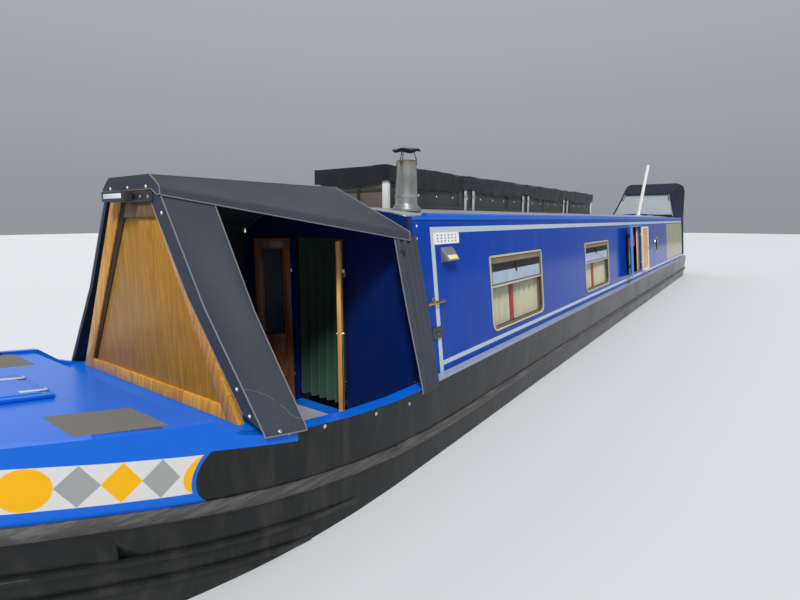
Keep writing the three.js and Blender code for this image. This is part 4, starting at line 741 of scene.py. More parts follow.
def window_parts():
    """One window in a side's own frame: metal, lining, seals and panes."""
    sill = WINDOW_HIGH - HOPPER_SHARE * (WINDOW_HIGH - WINDOW_LOW)
    half = WINDOW_WIDTH / 2
    flange = rounded_frame(WINDOW_WIDTH + 2 * FLANGE, WINDOW_LOW - FLANGE, WINDOW_HIGH + FLANGE,
                           (0.030, 0.080), 0.018, 0.0006, 0.0084)
    rim = rounded_frame(WINDOW_WIDTH - 0.020, WINDOW_LOW + 0.010, WINDOW_HIGH - 0.010, (0.020, 0.066), 0.012,
                        -0.006, 0.008)
    head = bar((-half + 0.018, WINDOW_HIGH - 0.052, -0.010), (half - 0.018, WINDOW_HIGH - 0.012, 0.003))
    light = rounded_frame(WINDOW_WIDTH - 0.056, sill + 0.008, WINDOW_HIGH - 0.050, (0.008, 0.006), 0.008,
                          -0.012, 0.012)
    transom = bar((-half + 0.020, sill - 0.008, -0.020), (half - 0.020, sill + 0.009, 0.004))
    stay = bar((-0.055, sill + 0.10, -0.004), (-0.030, WINDOW_HIGH - 0.060, 0.004))
    lining = rounded_frame(WINDOW_WIDTH - 0.004, WINDOW_LOW + 0.002, WINDOW_HIGH - 0.002, (0.03, 0.07), 0.014,
                           -0.044, 0.036)
    seals = [rounded_frame(WINDOW_WIDTH - 0.044, WINDOW_LOW + 0.022, sill - 0.007, (0.008, 0.054), 0.006,
                           -0.018, 0.010),
             rounded_frame(WINDOW_WIDTH - 0.072, sill + 0.016, WINDOW_HIGH - 0.058, (0.006, 0.005), 0.005,
                           -0.010, 0.008)]
    panes = [rounded_pane(WINDOW_WIDTH - 0.048, WINDOW_LOW + 0.024, sill - 0.008, (0.008, 0.052), -0.016),
             rounded_pane(WINDOW_WIDTH - 0.074, sill + 0.017, WINDOW_HIGH - 0.060, (0.006, 0.005), -0.009)]
    obscured = rounded_pane(WINDOW_WIDTH - 0.078, sill + 0.018, sill + 0.128, (0.004, 0.004), -0.0055)
    for part in panes + [obscured]:
        modified(part, "SOLIDIFY", thickness=0.003, offset=1.0)
    return ([painted(part, gold) for part in (flange, transom)]
            + [painted(part, bronzed) for part in (rim, head, light)]
            + [painted(lining, lining_wood)] + [painted(part, rubber) for part in seals + [stay]]
            + [painted(part, glass) for part in panes] + [painted(obscured, frosted)])


SIDES = {"port": 1, "starboard": -1}
window_model = joined(window_parts())
for side, sign in SIDES.items():
    for name, x in WINDOW_AT.items():
        made = bpy.data.objects.new("window", window_model.data.copy())
        bpy.context.scene.collection.objects.link(made)
        settle(made, f"window_{name}_{side}_fitted", "boat", place=side_place(x, sign))
        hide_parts(f"window_{name}_{side}")
bpy.data.objects.remove(window_model)

# Cloth weave: crossing threads read from the cloth's own map in metres, with slubs and soft fading.
tree, given, made = group("weave", {"Cloth": "Vector", "Threads": "Float"},
                          {"Height": "Float", "Fade": "Float"})
threads = []
for direction in ("X", "Y"):
    thread = node(tree, "ShaderNodeTexWave", {"Vector": given["Cloth"], "Scale": given["Threads"],
                                              "Distortion": 0.6}, bands_direction=direction)
    threads.append(thread.outputs["Fac"])
tree.links.new(maths(tree, "MAXIMUM", *threads), made["Height"])
fade = node(tree, "ShaderNodeTexNoise", {"Vector": given["Cloth"], "Scale": 2.4, "Detail": 5.0})
tree.links.new(fade.outputs["Fac"], made["Fade"])


def woven(name, colour, faded, threads, roughness=0.85, sheen=0.3):
    """A cloth finish on the piece's own map."""
    made, tree, shader, _ = finish_of(name, colour, roughness, Sheen_Weight=sheen, Specular_IOR_Level=0.25)
    cloth_map = node(tree, "ShaderNodeTexCoord").outputs["UV"]
    weave = shared(tree, "weave", {"Cloth": cloth_map, "Threads": threads})
    feed(tree, shader, Base_Color=over(tree, weave["Fade"], (*colour, 1.0), (*faded, 1.0)),
         Normal=bumped(tree, weave["Height"], 0.25, 0.0006))
    return made, tree, shader, weave


def cloth(rows, finish, thickness=0.0016, smooth=60.0):
    """A sheet through rows of points, with its flat cut kept as its map, and its cloth's thickness."""
    mesh = bpy.data.meshes.new("cloth")
    width = len(rows[0])
    faces = [(i * width + j, i * width + j + 1, (i + 1) * width + j + 1, (i + 1) * width + j)
             for i in range(len(rows) - 1) for j in range(width - 1)]
    mesh.from_pydata([tuple(p) for row in rows for p in row], [], faces)
    along = [0.0]
    for above, below in zip(rows, rows[1:]):
        along.append(along[-1] + (Vector(below[width // 2]) - Vector(above[width // 2])).length)
    across = []
    for row in rows:
        line = [0.0]
        for a, b in zip(row, row[1:]):
            line.append(line[-1] + (Vector(b) - Vector(a)).length)
        across.append(line)
    flat = mesh.uv_layers.new(name="cloth_map")
    for loop in mesh.loops:
        i, j = divmod(loop.vertex_index, width)
        flat.data[loop.index].uv = (across[i][j], along[i])
    made = bpy.data.objects.new("cloth", mesh)
    bpy.context.scene.collection.objects.link(made)
    painted(made, finish)
    if thickness:
        modified(made, "SOLIDIFY", thickness=thickness, offset=0.0)
    select_only(made)
    bpy.ops.object.shade_smooth_by_angle(angle=math.radians(smooth))
    return made


def spread(low, high, count):
    return [low + (high - low) * i / (count - 1) for i in range(count)]


curtain_cloth, tree, shader, weave = woven("curtain_cloth", (0.62, 0.57, 0.38), (0.74, 0.70, 0.53), 260.0)
across = node(tree, "ShaderNodeSeparateXYZ", {
    "Vector": node(tree, "ShaderNodeTexCoord").outputs["UV"]}).outputs["X"]
red_edge = shared(tree, "painted_line", {"Value": across, "Centre": 0.075, "Half": 0.075})["Mask"]
cream_cloth = over(tree, weave["Fade"], (0.60, 0.56, 0.36, 1.0), (0.80, 0.77, 0.58, 1.0))
feed(tree, shader, Base_Color=over(tree, red_edge, cream_cloth, (0.42, 0.012, 0.016, 1.0)))

CURTAIN_HEAD = WINDOW_HIGH - HOPPER_SHARE * (WINDOW_HIGH - WINDOW_LOW) - 0.006
CURTAIN_DROP = 0.39
CURTAIN_DEEP = -0.082
CURTAIN_SPANS = {"fore": (-0.615, -0.09, 0.010, 1.15), "aft": (-0.06, 0.615, 0.028, 1.45)}
for side, sign in SIDES.items():
    for window, x in WINDOW_AT.items():
        for end, (start, stop, deep, fullness) in CURTAIN_SPANS.items():
            rows = []
            for v in spread(CURTAIN_HEAD - 0.004, CURTAIN_HEAD - CURTAIN_DROP, 9):
                fall = (CURTAIN_HEAD - v) / CURTAIN_DROP
                row = []
                for u in spread(start, stop, int((stop - start) / 0.008)):
                    fold = math.sin((u - start) * math.tau / 0.125 + 0.6 * math.sin(u * 9.0) + 0.5 * fall)
                    row.append((u + 0.006 * fall * math.sin(u * 30.0), v, CURTAIN_DEEP + deep * fold))
                rows.append(row)
            hanging = cloth(rows, curtain_cloth, 0.0012)
            settle(hanging, f"curtain_{window}_{end}_{side}", "boat", place=side_place(x, sign),
                   smooth=80.0)
        rail = tube([(u, CURTAIN_HEAD + 0.002, CURTAIN_DEEP) for u in (-0.66, 0.66)], 0.005, 12)
        ends = [bar((u - 0.008, CURTAIN_HEAD - 0.008, CURTAIN_DEEP - 0.008),
                    (u + 0.008, CURTAIN_HEAD + 0.012, -0.05))
                for u in (-0.65, 0.65)]
        settle(joined([rail] + ends), f"curtain_rail_{window}_{side}", "boat", gold,
               side_place(x, sign))

# Portholes: turned brass rings with a dark seal and a round pane, one on each side towards the stern.
PORTHOLE = (-3.6, 1.69)
brass = clouded("brass", (0.62, 0.42, 0.13), 0.24, 9.0, ((0.70, 0.48, 0.16), (0.40, 0.26, 0.09)), 1.0,
                shine=(0.3, 0.1))
RING = [(0.134, -0.040), (0.134, 0.002), (0.139, 0.0085), (0.150, 0.0105), (0.168, 0.0095), (0.178, 0.0055),
        (0.180, 0.0006), (0.1495, 0.0006), (0.1495, -0.040), (0.134, -0.040)]
for side, sign in SIDES.items():
    ring = painted(turned(RING, 48), brass)
    seal = painted(turned([(0.1339, -0.016), (0.126, -0.016), (0.126, -0.006), (0.1339, -0.004)], 48), rubber)
    pane = painted(turned([(0.0, -0.011), (0.128, -0.011), (0.128, -0.014), (0.0, -0.014)], 48), glass)
    screws = [painted(turned([(0.0, 0.0125), (0.004, 0.0118), (0.006, 0.0095)], 10, Matrix.Translation(
        (0.160 * math.cos(a), 0.160 * math.sin(a), 0.0))), brass)
        for a in spread(0.2, 0.2 + math.tau * 5 / 6, 6)]
    settle(joined([ring, seal, pane] + screws), f"porthole_{side}_fitted", "boat",
           place=side_place(PORTHOLE[0], sign, PORTHOLE[1]))
    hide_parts(f"porthole_{side}")

# Bulkheads and sliding hatch: gloss blue outside and ply-lined inside, with the roof's hatch in the same
# blue.
# The front bulkhead's navy outside is painted shade: the cabin's blue drawn darker for the shade under the
# cratch cover.
BULKHEAD_BLUE_PAINTED_SHADE = (0.003, 0.012, 0.10, 1.0)
bulkhead_paint, tree, shader, place = finish_of("bulkhead_enamel", BULKHEAD_BLUE_PAINTED_SHADE[:3], 0.25, IOR=1.4)
wear = shared(tree, "weathering", {"Place": place, "Scale": 1.6})
facing = node(tree, "ShaderNodeSeparateXYZ", {
    "Vector": node(tree, "ShaderNodeTexCoord").outputs["Normal"]}).outputs["X"]
toward_cabin = node(tree, "ShaderNodeMath", {0: facing, 1: -0.5}, operation="LESS_THAN").outputs[0]
colour = over(tree, maths(tree, "MULTIPLY", wear["Clouds"], 0.5), BULKHEAD_BLUE_PAINTED_SHADE, (0.006, 0.03, 0.17, 1.0))
feed(tree, shader, Base_Color=over(tree, toward_cabin, colour, LINING),
     Normal=bumped(tree, wear["Fine"], 0.06, 0.001))
paint_nodes(["front_bulkhead"], bulkhead_paint)
varnished = wooden("varnished_oak", (0.20, 0.095, 0.03), (0.46, 0.25, 0.10), (0.0, 90.0, 0.0), gloss=0.22)
paint_nodes(["rear_bulkhead"], varnished)
hatch_enamel, tree, shader, place = finish_of("hatch_enamel", ROYAL_BLUE[:3], 0.2, IOR=1.34)
wear = shared(tree, "weathering", {"Place": place, "Scale": 2.5})
feed(tree, shader, Base_Color=over(tree, wear["Clouds"], ROYAL_BLUE, (0.006, 0.04, 0.30, 1.0)),
     Normal=bumped(tree, wear["Fine"], 0.06, 0.001))
welded("sliding_hatch", hatch_enamel)

# Front doors: framed leaves on brass butt hinges, glazed above and panelled below, the port one in golden
# pine and the starboard one stained dark. They stand folded back on their hinges.
golden = wooden("golden_pine", (0.42, 0.19, 0.045), (0.72, 0.40, 0.13), (0.0, 90.0, 0.0), gloss=0.25)
stained = wooden("stained_door", (0.09, 0.03, 0.01), (0.24, 0.085, 0.025), (0.0, 90.0, 0.0), gloss=0.3)
STILE = 0.052
RAILS = [(-0.5, 0.085), (-0.10, 0.06), (0.5, 0.07)]


def leaf_place(hinge, along, out, turn):
    """A leaf's frame: x runs from its hinge to its free edge, y out of the closed doorway."""
    along, out = Vector(along), Vector(out)
    made = Matrix((along, out, along.cross(out))).transposed().to_4x4()
    made.translation = hinge
    return made @ Matrix.Rotation(math.radians(turn), 4, "Z")


def leaf_hinges(high, metal=None):
    """Barrels on the hinge line with a knuckle plate let into the leaf's outer face."""
    made = []
    for z in (-0.32 * high, 0.32 * high):
        barrel = [(0.0, 0.0), (0.0068, 0.0), (0.008, 0.0015), (0.008, 0.0265), (0.0068, 0.028), (0.0, 0.028)]
        pin = [(0.0, -0.034), (0.0045, -0.034), (0.004, -0.030), (0.004, 0.001)]
        made.append(turned([(r, z + up) for r, up in barrel], 16))
        made.append(turned([(r, z + up) for r, up in pin], 12))
        made.append(bar((0.002, -0.0125, z + 0.001), (0.012, -0.004, z + 0.027), 0.001))
        made.append(bar((0.010, -0.0115, z - 0.004), (0.050, -0.0085, z + 0.032), 0.0012))
    return [painted(part, metal or brass) for part in made]


def framed_leaf(width, high, up, wood):
    """Stiles and rails, a raised and fielded panel below, a pane with its beading above."""
    foot, top = -high / 2, high / 2
    levels = [(share * high * up, size) for share, size in RAILS]
    parts = [bar((0.006, -0.040, foot), (0.006 + STILE, -0.010, top)),
             bar((width - STILE, -0.040, foot), (width, -0.010, top))]
    spans = []
    for at, size in levels:
        if abs(at) > 0.45 * high:
            size_range = (at, at - math.copysign(size, at))
        else:
            size_range = (at - size / 2, at + size / 2)
        spans.append((min(size_range), max(size_range)))
        parts.append(bar((0.004 + STILE, -0.038, spans[-1][0]), (width - STILE + 0.002, -0.012, spans[-1][1]),
                         0.002))
    gaps = [(min(a[1], b[1]), max(a[0], b[0])) for a, b in zip(spans, spans[1:])]
    inner = (STILE + 0.004, width - STILE + 0.002)
    panel = bar((inner[0], -0.030, gaps[0][0] - 0.004), (inner[1], -0.020, gaps[0][1] + 0.004), 0.001)
    edit_where(panel, "faces", lambda face: abs(face.normal.y) > 0.99)
    bpy.ops.mesh.inset(thickness=0.012)
    bpy.ops.mesh.inset(thickness=0.016, depth=0.007)
    bpy.ops.object.mode_set(mode="OBJECT")
    parts.append(panel)
    pane = bar((inner[0], -0.027, gaps[1][0] - 0.003), (inner[1], -0.023, gaps[1][1] + 0.003), 0.0008)
    for low, high_end in ((inner[0], inner[0] + 0.012), (inner[1] - 0.012, inner[1])):
        parts.append(bar((low, -0.035, gaps[1][0]), (high_end, -0.015, gaps[1][1]), 0.003))
    for z in (gaps[1][0], gaps[1][1] - 0.012):
        parts.append(bar((inner[0], -0.035, z), (inner[1], -0.015, z + 0.012), 0.003))
    handle_at = Matrix.Translation((width - 0.026, 0.0, 0.03 * up)) @ Matrix.Rotation(-math.pi / 2, 4, "X")
    handle = turned([(0.0, -0.046), (0.012, -0.046), (0.012, -0.043), (0.006, -0.041), (0.006, -0.002),
                     (0.012, 0.0), (0.012, 0.004), (0.0, 0.004)], 14, handle_at)
    return [painted(part, wood) for part in parts] + [painted(pane, glass), painted(handle, brass)]


for side, sign, wood in (("port", 1, golden), ("starboard", -1, stained)):
    node_name = f"front_door_{side}"
    parts = framed_leaf(0.276, 1.33, sign, wood) + leaf_hinges(1.33)
    leaf = joined(parts)
    settle(leaf, node_name + "_leaf", node_name,
           place=leaf_place((5.935, sign * 0.28, 1.43), (0, -sign, 0), (1, 0, 0), 130.0))
    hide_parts(node_name)

# Rear doors: ledged leaves of upright boards, varnished, with brass hinges and a rim latch.
for side, sign in SIDES.items():
    node_name = f"rear_door_{side}"
    width, high = 0.296, 1.257
    boards = [bar((0.006 + i * 0.0725, -0.034, -high / 2), (0.0775 + i * 0.0725, -0.010, high / 2), 0.003)
              for i in range(4)]
    ledges = [bar((0.012, -0.040, z - 0.035), (width - 0.006, -0.032, z + 0.035), 0.002)
              for z in (-0.45, 0.0, 0.45)]
    latch = [bar((width - 0.07, -0.012, -0.02), (width - 0.012, -0.002, 0.02), 0.002),
             bar((width - 0.055, -0.004, -0.004), (width - 0.018, 0.010, 0.004), 0.0015)]
    leaf = joined([painted(part, varnished) for part in boards + ledges]
                  + [painted(part, brass) for part in latch] + leaf_hinges(high))
    settle(leaf, node_name + "_leaf", node_name,
           place=leaf_place((-6.81, sign * 0.30, 1.6035), (0, -sign, 0), (-1, 0, 0), 0.0))
    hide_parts(node_name)

# Side hatch: two leaves folded back against the port side, the fore one painted in two blues inside, the aft
# one in plain wood with a pale frame; painted jambs, a drip ledge over the opening and a red cloth inside.
HATCH_X = (-1.76, -0.86)
HATCH_V = [(z - CABIN_FOOT[1]) / math.cos(SIDE_LEAN) for z in (1.255, 2.095)]
light_blue = clouded("light_blue_gloss", (0.04, 0.25, 0.70), 0.22, 6.0,
                     ((0.03, 0.22, 0.68), (0.08, 0.32, 0.72)), IOR=1.4)
pale_paint, tree, shader, place = finish_of("pale_trim", (0.66, 0.66, 0.60), 0.3, Coat_Weight=0.2)
wear = shared(tree, "weathering", {"Place": place, "Scale": 5.0})
feed(tree, shader, Base_Color=over(tree, maths(tree, "MULTIPLY", wear["Runs"], 0.4), (0.68, 0.68, 0.63, 1.0),
                                   (0.38, 0.35, 0.28, 1.0)))
for name, x, run, turn, rim, field, margin in (
        ("fore", HATCH_X[1], 1, 170.0, light_blue, hatch_enamel, 0.050),
        ("aft", HATCH_X[0], -1, 176.0, pale_paint, golden, 0.026)):
    width, high = 0.446, 0.8324
    leaf = painted(bar((0.006, -0.040, -high / 2), (width, -0.010, high / 2), 0.003), rim)
    leaf.data.materials.append(field)
    edit_where(leaf, "faces", lambda face: face.normal.y < -0.99)
    bpy.ops.mesh.inset(thickness=margin)
    bpy.ops.mesh.inset(thickness=0.006, depth=-0.007)
    leaf.active_material_index = 1
    bpy.ops.object.material_slot_assign()
    bpy.ops.object.mode_set(mode="OBJECT")
    outer = bar((0.010, -0.012, -high / 2 + 0.004), (width - 0.004, -0.0095, high / 2 - 0.004), 0.001)
    outer = painted(outer, hatch_enamel)
    catch = painted(bar((width - 0.05, -0.046, -0.012), (width - 0.015, -0.038, 0.012), 0.002), brass)
    leaf = joined([leaf, outer, catch] + leaf_hinges(high, stainless))
    settle(leaf, f"side_hatch_{name}_leaf", f"side_hatch_{name}",
           place=side_place(x, 1) @ leaf_place((0, 0.5277, 0.010), (run, 0, 0), (0, 0, 1), turn))
    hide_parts(f"side_hatch_{name}")

hatch_frame = side_place(sum(HATCH_X) / 2, 1)
jambs = [painted(bar((0.448 * end - 0.012, HATCH_V[0] + 0.004, -0.062),
                     (0.448 * end + 0.012, HATCH_V[1] - 0.004, -0.045),
                     0.002), pale_paint) for end in (-1, 1)]
sill = painted(bar((-0.46, HATCH_V[0] - 0.02, -0.075), (0.46, HATCH_V[0] - 0.002, -0.046), 0.002), golden)
head = painted(bar((-0.46, HATCH_V[1] + 0.002, -0.075), (0.46, HATCH_V[1] + 0.02, -0.046), 0.002), golden)
settle(joined(jambs + [sill, head]), "side_hatch_trim", "boat", place=hatch_frame)
ledge = bar((-0.54, HATCH_V[1] + 0.006, 0.0005), (0.54, HATCH_V[1] + 0.026, 0.026), 0.004)
edit_where(ledge, "verts", lambda v: v.co.z > 0.02 and v.co.y > HATCH_V[1] + 0.016)
bpy.ops.transform.translate(value=(0.0, -0.010, 0.0))
bpy.ops.object.mode_set(mode="OBJECT")
settle(ledge, "side_hatch_drip_ledge", "boat", light_blue, hatch_frame)

red_cloth = woven("red_cloth", (0.20, 0.012, 0.016), (0.30, 0.03, 0.03), 240.0)[0]
rows = []
for v in spread(HATCH_V[1] + 0.012, HATCH_V[1] - 0.36, 10):
    fall = (HATCH_V[1] - v) / 0.36
    rows.append([(u, v, -0.105 + 0.012 * math.sin(u * 75.0 + 2.0 * math.sin(u * 7.0)) * (0.6 + 0.4 * fall))
                 for u in spread(-0.44, 0.44, 120)])
valance = cloth(rows, red_cloth, 0.0012)
settle(valance, "side_hatch_valance", "boat", place=hatch_frame, smooth=80.0)
rail = tube([(-0.47, HATCH_V[1] + 0.016, -0.105), (0.47, HATCH_V[1] + 0.016, -0.105)], 0.006, 12)
ends = [bar((u - 0.008, HATCH_V[1] + 0.006, -0.113), (u + 0.008, HATCH_V[1] + 0.026, -0.05), 0.002)
        for u in (-0.46, 0.46)]
settle(joined([rail] + ends), "side_hatch_rail", "boat", gold, hatch_frame)

# Door curtain: a dark green cloth on a brass rail just inside the front doorway.
green_cloth = woven("green_cloth", (0.012, 0.055, 0.035), (0.03, 0.085, 0.055), 200.0)[0]
rows = []
for z in spread(2.115, 0.80, 16):
    fall = (2.115 - z) / 1.315
    row = []
    for y in spread(-0.30, 0.30, 90):
        pleat = math.sin(y * 62.0 + 1.5 * math.sin(y * 9.0) + 0.8 * fall)
        row.append((5.835 + (0.014 + 0.012 * fall) * pleat, y, z))
    rows.append(row)
door_curtain = cloth(rows, green_cloth, 0.0016)
settle(door_curtain, "door_curtain", "boat", smooth=80.0)
rail = tube([(5.835, -0.36, 2.118), (5.835, 0.36, 2.118)], 0.008, 12)
ends = [bar((5.828, y - 0.01, 2.108), (5.8795, y + 0.01, 2.128), 0.002) for y in (-0.35, 0.35)]
settle(joined([rail] + ends), "door_curtain_rail", "boat", brass)

# Cabin side fittings near the bow: a punched vent plate, a wedge wall lamp with an amber lens, a brass hook
# and a dark staple, with studs for the canvas.
OVAL = 0.55


def patterned_plate(width, high, columns, rows, hole, thick):
    """A plate with rows of punched oval holes."""
    deselect()
    bpy.ops.mesh.primitive_grid_add(x_subdivisions=columns + 1, y_subdivisions=rows + 1, size=1.0)
    plate = bpy.context.object
    plate.scale = (width, high / OVAL, 1.0)
    bpy.ops.object.transform_apply(location=True, rotation=True, scale=True)
    edit_where(plate, "verts", lambda v: not v.is_boundary)
    bpy.ops.mesh.bevel(offset=hole, segments=2, profile=0.5, affect="VERTICES")
    bpy.ops.object.mode_set(mode="OBJECT")
    edit_where(plate, "faces", lambda face: face.calc_area() < 3.2 * hole * hole)
    bpy.ops.mesh.delete(type="FACE")
    bpy.ops.object.mode_set(mode="OBJECT")
    plate.scale = (1.0, OVAL, 1.0)
    bpy.ops.object.transform_apply(location=True, rotation=True, scale=True)
    return modified(plate, "SOLIDIFY", thickness=thick, offset=1.0)


def standing_stud(radius, where, out):
    """A press stud's domed cap on its base ring, standing out of a surface."""
    turn = Vector(out).to_track_quat("Z", "Y").to_matrix().to_4x4()
    turn.translation = where
    return turned([(0.0, 0.45 * radius), (0.55 * radius, 0.38 * radius), (0.75 * radius, 0.22 * radius),
                   (0.78 * radius, 0.16 * radius), (radius, 0.12 * radius), (radius, 0.0)], 14, turn)


white_enamel, tree, shader, place = finish_of("white_enamel", (0.80, 0.80, 0.78), 0.28, Coat_Weight=0.3)
wear = shared(tree, "weathering", {"Place": place, "Scale": 8.0})
feed(tree, shader, Base_Color=over(tree, maths(tree, "MULTIPLY", wear["Runs"], 0.35), (0.80, 0.80, 0.78, 1.0),
                                   (0.45, 0.42, 0.36, 1.0)))
steel_grey = clouded("grey_steel", (0.24, 0.25, 0.26), 0.4, 12.0,
                     ((0.17, 0.18, 0.19), (0.34, 0.35, 0.36)), 0.6)
dark_metal = clouded("dark_metal", (0.045, 0.05, 0.052), 0.45, 12.0,
                     ((0.03, 0.034, 0.036), (0.09, 0.09, 0.088)), 0.3)
amber, tree, shader, place = finish_of("amber_lens", (0.80, 0.68, 0.36), 0.15, IOR=1.5)
ribs = node(tree, "ShaderNodeTexWave", {"Vector": place, "Scale": 60.0}, bands_direction="X")
feed(tree, shader, Normal=bumped(tree, ribs.outputs["Fac"], 0.4, 0.001))
for side, sign in SIDES.items():
    spot = side_place(5.435, sign, 2.1025)
    plate = patterned_plate(0.36, 0.085, 6, 3, 0.0165, 0.003)
    backing = bar((-0.17, -0.036, 0.0003), (0.17, 0.036, 0.0012), 0.0004)
    corner_studs = [standing_stud(0.005, (u, v, 0.003), (0, 0, 1)) for u in (-0.172, 0.172)
                    for v in (-0.035, 0.035)]
    plate = joined([painted(plate, white_enamel), painted(backing, rubber)]
                   + [painted(part, stainless) for part in corner_studs])
    settle(plate, f"vent_plate_{side}", "boat", place=spot)
    spot = side_place(5.45, sign, 1.985)
    shell = bar((-0.080, -0.050, 0.0005), (0.080, 0.050, 0.064), 0.005, 3)
    edit_where(shell, "verts", lambda v: v.co.z > 0.04 and v.co.y > 0.0)
    bpy.ops.transform.translate(value=(0.0, -0.006, -0.046))
    bpy.ops.object.mode_set(mode="OBJECT")
    lens = bar((-0.062, -0.040, 0.046), (0.062, -0.006, 0.066), 0.006, 3)
    edit_where(lens, "verts", lambda v: v.co.y > -0.02)
    bpy.ops.transform.translate(value=(0.0, 0.0, -0.012))
    bpy.ops.object.mode_set(mode="OBJECT")
    cover_plate = bar((-0.084, -0.054, 0.0004), (0.084, 0.054, 0.004), 0.0015)
    lamp = joined([painted(shell, steel_grey), painted(lens, amber), painted(cover_plate, steel_grey)])
    settle(lamp, f"wall_lamp_{side}", "boat", place=spot)
    spot = side_place(5.64, sign, 1.655)
    hook_plate = bar((-0.11, -0.012, 0.0004), (0.11, 0.012, 0.006), 0.002)
    bends = ((-0.09, 0.0, 0.004), (-0.085, 0.0, 0.022), (-0.03, 0.0, 0.028), (0.04, 0.002, 0.028),
             (0.075, 0.010, 0.030), (0.095, 0.028, 0.030), (0.085, 0.042, 0.030), (0.07, 0.040, 0.030))
    hook = tube([(-sign * u, v, w) for u, v, w in bends], 0.0055, 12)
    settle(joined([hook_plate, hook]), f"brass_hook_{side}", "boat", brass, spot)
    spot = side_place(5.67, sign, 1.445)
    staple_plate = bar((-0.065, -0.040, 0.0004), (0.065, 0.040, 0.016), 0.004)
    staple = tube([(-0.03, 0.0, 0.012), (-0.03, 0.0, 0.028), (-0.02, 0.0, 0.038), (0.02, 0.0, 0.038),
                   (0.03, 0.0, 0.028), (0.03, 0.0, 0.012)], 0.005, 12)
    settle(joined([staple_plate, staple]), f"cabin_staple_{side}", "boat", dark_metal, spot)
    white_studs = []
    for x, z in ((5.815, 2.193), (5.825, 2.11)):
        local = side_place(x, sign, z)
        white_studs.append(standing_stud(0.009, local.translation, local.col[2].to_3d()))
    settle(joined(white_studs), f"cabin_studs_{side}", "boat", white_enamel)
    hull_studs = []
    for x, z in ((7.12, 1.255), (6.9, 1.21), (6.5, 1.145), (6.17, 1.10)):
        place_at, out = surface(f"bow_side_{side}", (x, sign * 2.0, z), (0.0, -sign, 0.0))
        hull_studs.append(standing_stud(0.011, place_at, out))
    settle(joined(hull_studs), f"hull_studs_{side}", "boat", stainless)

# Roof box: a long rack on the roof with white corner posts, dark side boards and mesh ends, under a black
# tarpaulin that is strapped down and hangs in scallops.
BOX_X = (-0.435, 5.425)
BOX_Y = (-0.490, 0.290)
BOX_TOP = 2.650
box_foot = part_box("roof_box")[0].z
dark_board, tree, shader, place = finish_of("dark_board", (0.022, 0.024, 0.026), 0.5)
wear = shared(tree, "weathering", {"Place": place, "Scale": 3.0})
feed(tree, shader, Base_Color=over(tree, wear["Clouds"], (0.015, 0.016, 0.018, 1.0),
                                   (0.06, 0.06, 0.058, 1.0)),
     Normal=bumped(tree, wear["Fine"], 0.2, 0.001))
mesh_panel, tree, shader, place = finish_of("mesh_panel", (0.16, 0.13, 0.10), 0.6)
lattice = [node(tree, "ShaderNodeTexWave", {"Vector": place, "Scale": 38.0},
                bands_direction=axis).outputs["Fac"]
           for axis in ("Y", "Z")]
holes = maths(tree, "MULTIPLY_ADD", maths(tree, "MAXIMUM", *lattice), 4.0, -2.6, clamp=True)
feed(tree, shader, Base_Color=over(tree, holes, (0.04, 0.032, 0.026, 1.0), (0.22, 0.18, 0.14, 1.0)),
     Normal=bumped(tree, holes, 0.6, 0.002))
box_parts = []
posts = [BOX_X[0], 0.73, 1.90, 3.08, 4.25, BOX_X[1]]
for i, x in enumerate(posts):
    x = min(max(x, BOX_X[0] + 0.02), BOX_X[1] - 0.02)
    for y in BOX_Y:
        corner = i in (0, len(posts) - 1)
        wide = 0.026 if corner else 0.018
        inward = math.copysign(wide, -y - 0.1)
        post = bar((x - 0.020, y + inward - wide, box_foot + 0.004), (x + 0.020, y + inward + wide, BOX_TOP),
                   0.003)
        box_parts.append(painted(post, white_enamel if corner else dark_board))
for y in BOX_Y:
    inward = 0.014 if y < 0 else -0.014
    for z in (box_foot + 0.02, 2.50):
        rail = bar((BOX_X[0] + 0.03, y + inward - 0.011, z), (BOX_X[1] - 0.03, y + inward + 0.011, z + 0.028),
                   0.003)
        box_parts.append(painted(rail, dark_board))
    for start, stop in zip(posts, posts[1:]):
        board = bar((start + 0.022, y + inward - 0.004, box_foot + 0.01),
                    (stop - 0.022, y + inward + 0.004, 2.635), 0.002)
        box_parts.append(painted(board, dark_board))
for x, inward in ((BOX_X[0], 0.014), (BOX_X[1], -0.014)):
    end = bar((x + inward - 0.003, BOX_Y[0] + 0.03, box_foot + 0.01),
              (x + inward + 0.003, BOX_Y[1] - 0.03, 2.635), 0.002)
    rim = bar((x + inward - 0.010, BOX_Y[0] + 0.03, 2.46), (x + inward + 0.010, BOX_Y[1] - 0.03, 2.49), 0.003)
    box_parts += [painted(end, mesh_panel), painted(rim, dark_board)]
for x in posts[:-1]:
    cross = bar((x + 0.01, BOX_Y[0] + 0.01, 2.628), (x + 0.045, BOX_Y[1] - 0.01, 2.648), 0.003)
    box_parts.append(painted(cross, dark_board))
rack = settle(joined(box_parts), "roof_box_frame", "boat")
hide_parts("roof_box")

tarp, tree, shader, _ = woven("black_tarpaulin", (0.008, 0.010, 0.012), (0.022, 0.026, 0.030), 150.0,
                              0.34, 0.0)
crumple = node(tree, "ShaderNodeTexNoise", {
    "Vector": node(tree, "ShaderNodeTexCoord").outputs["Object"], "Scale": 7.0, "Detail": 3.0,
    "Distortion": 0.6})
feed(tree, shader, Normal=bumped(tree, crumple.outputs["Fac"], 0.4, 0.035))
STRAPS_X = [1.005, 2.58, 4.065]
TARP_GROW = 0.010


def tarp_drop(x):
    """How far the tarpaulin's edge hangs: pulled up at each strap and loose between them."""
    near = min(abs(x - strap) for strap in STRAPS_X + [BOX_X[0], BOX_X[1]])
    return 0.125 + 0.040 * min(1.0, near / 0.40) + 0.016 * noise(Vector((x * 6.0, 0.0, 3.0)))


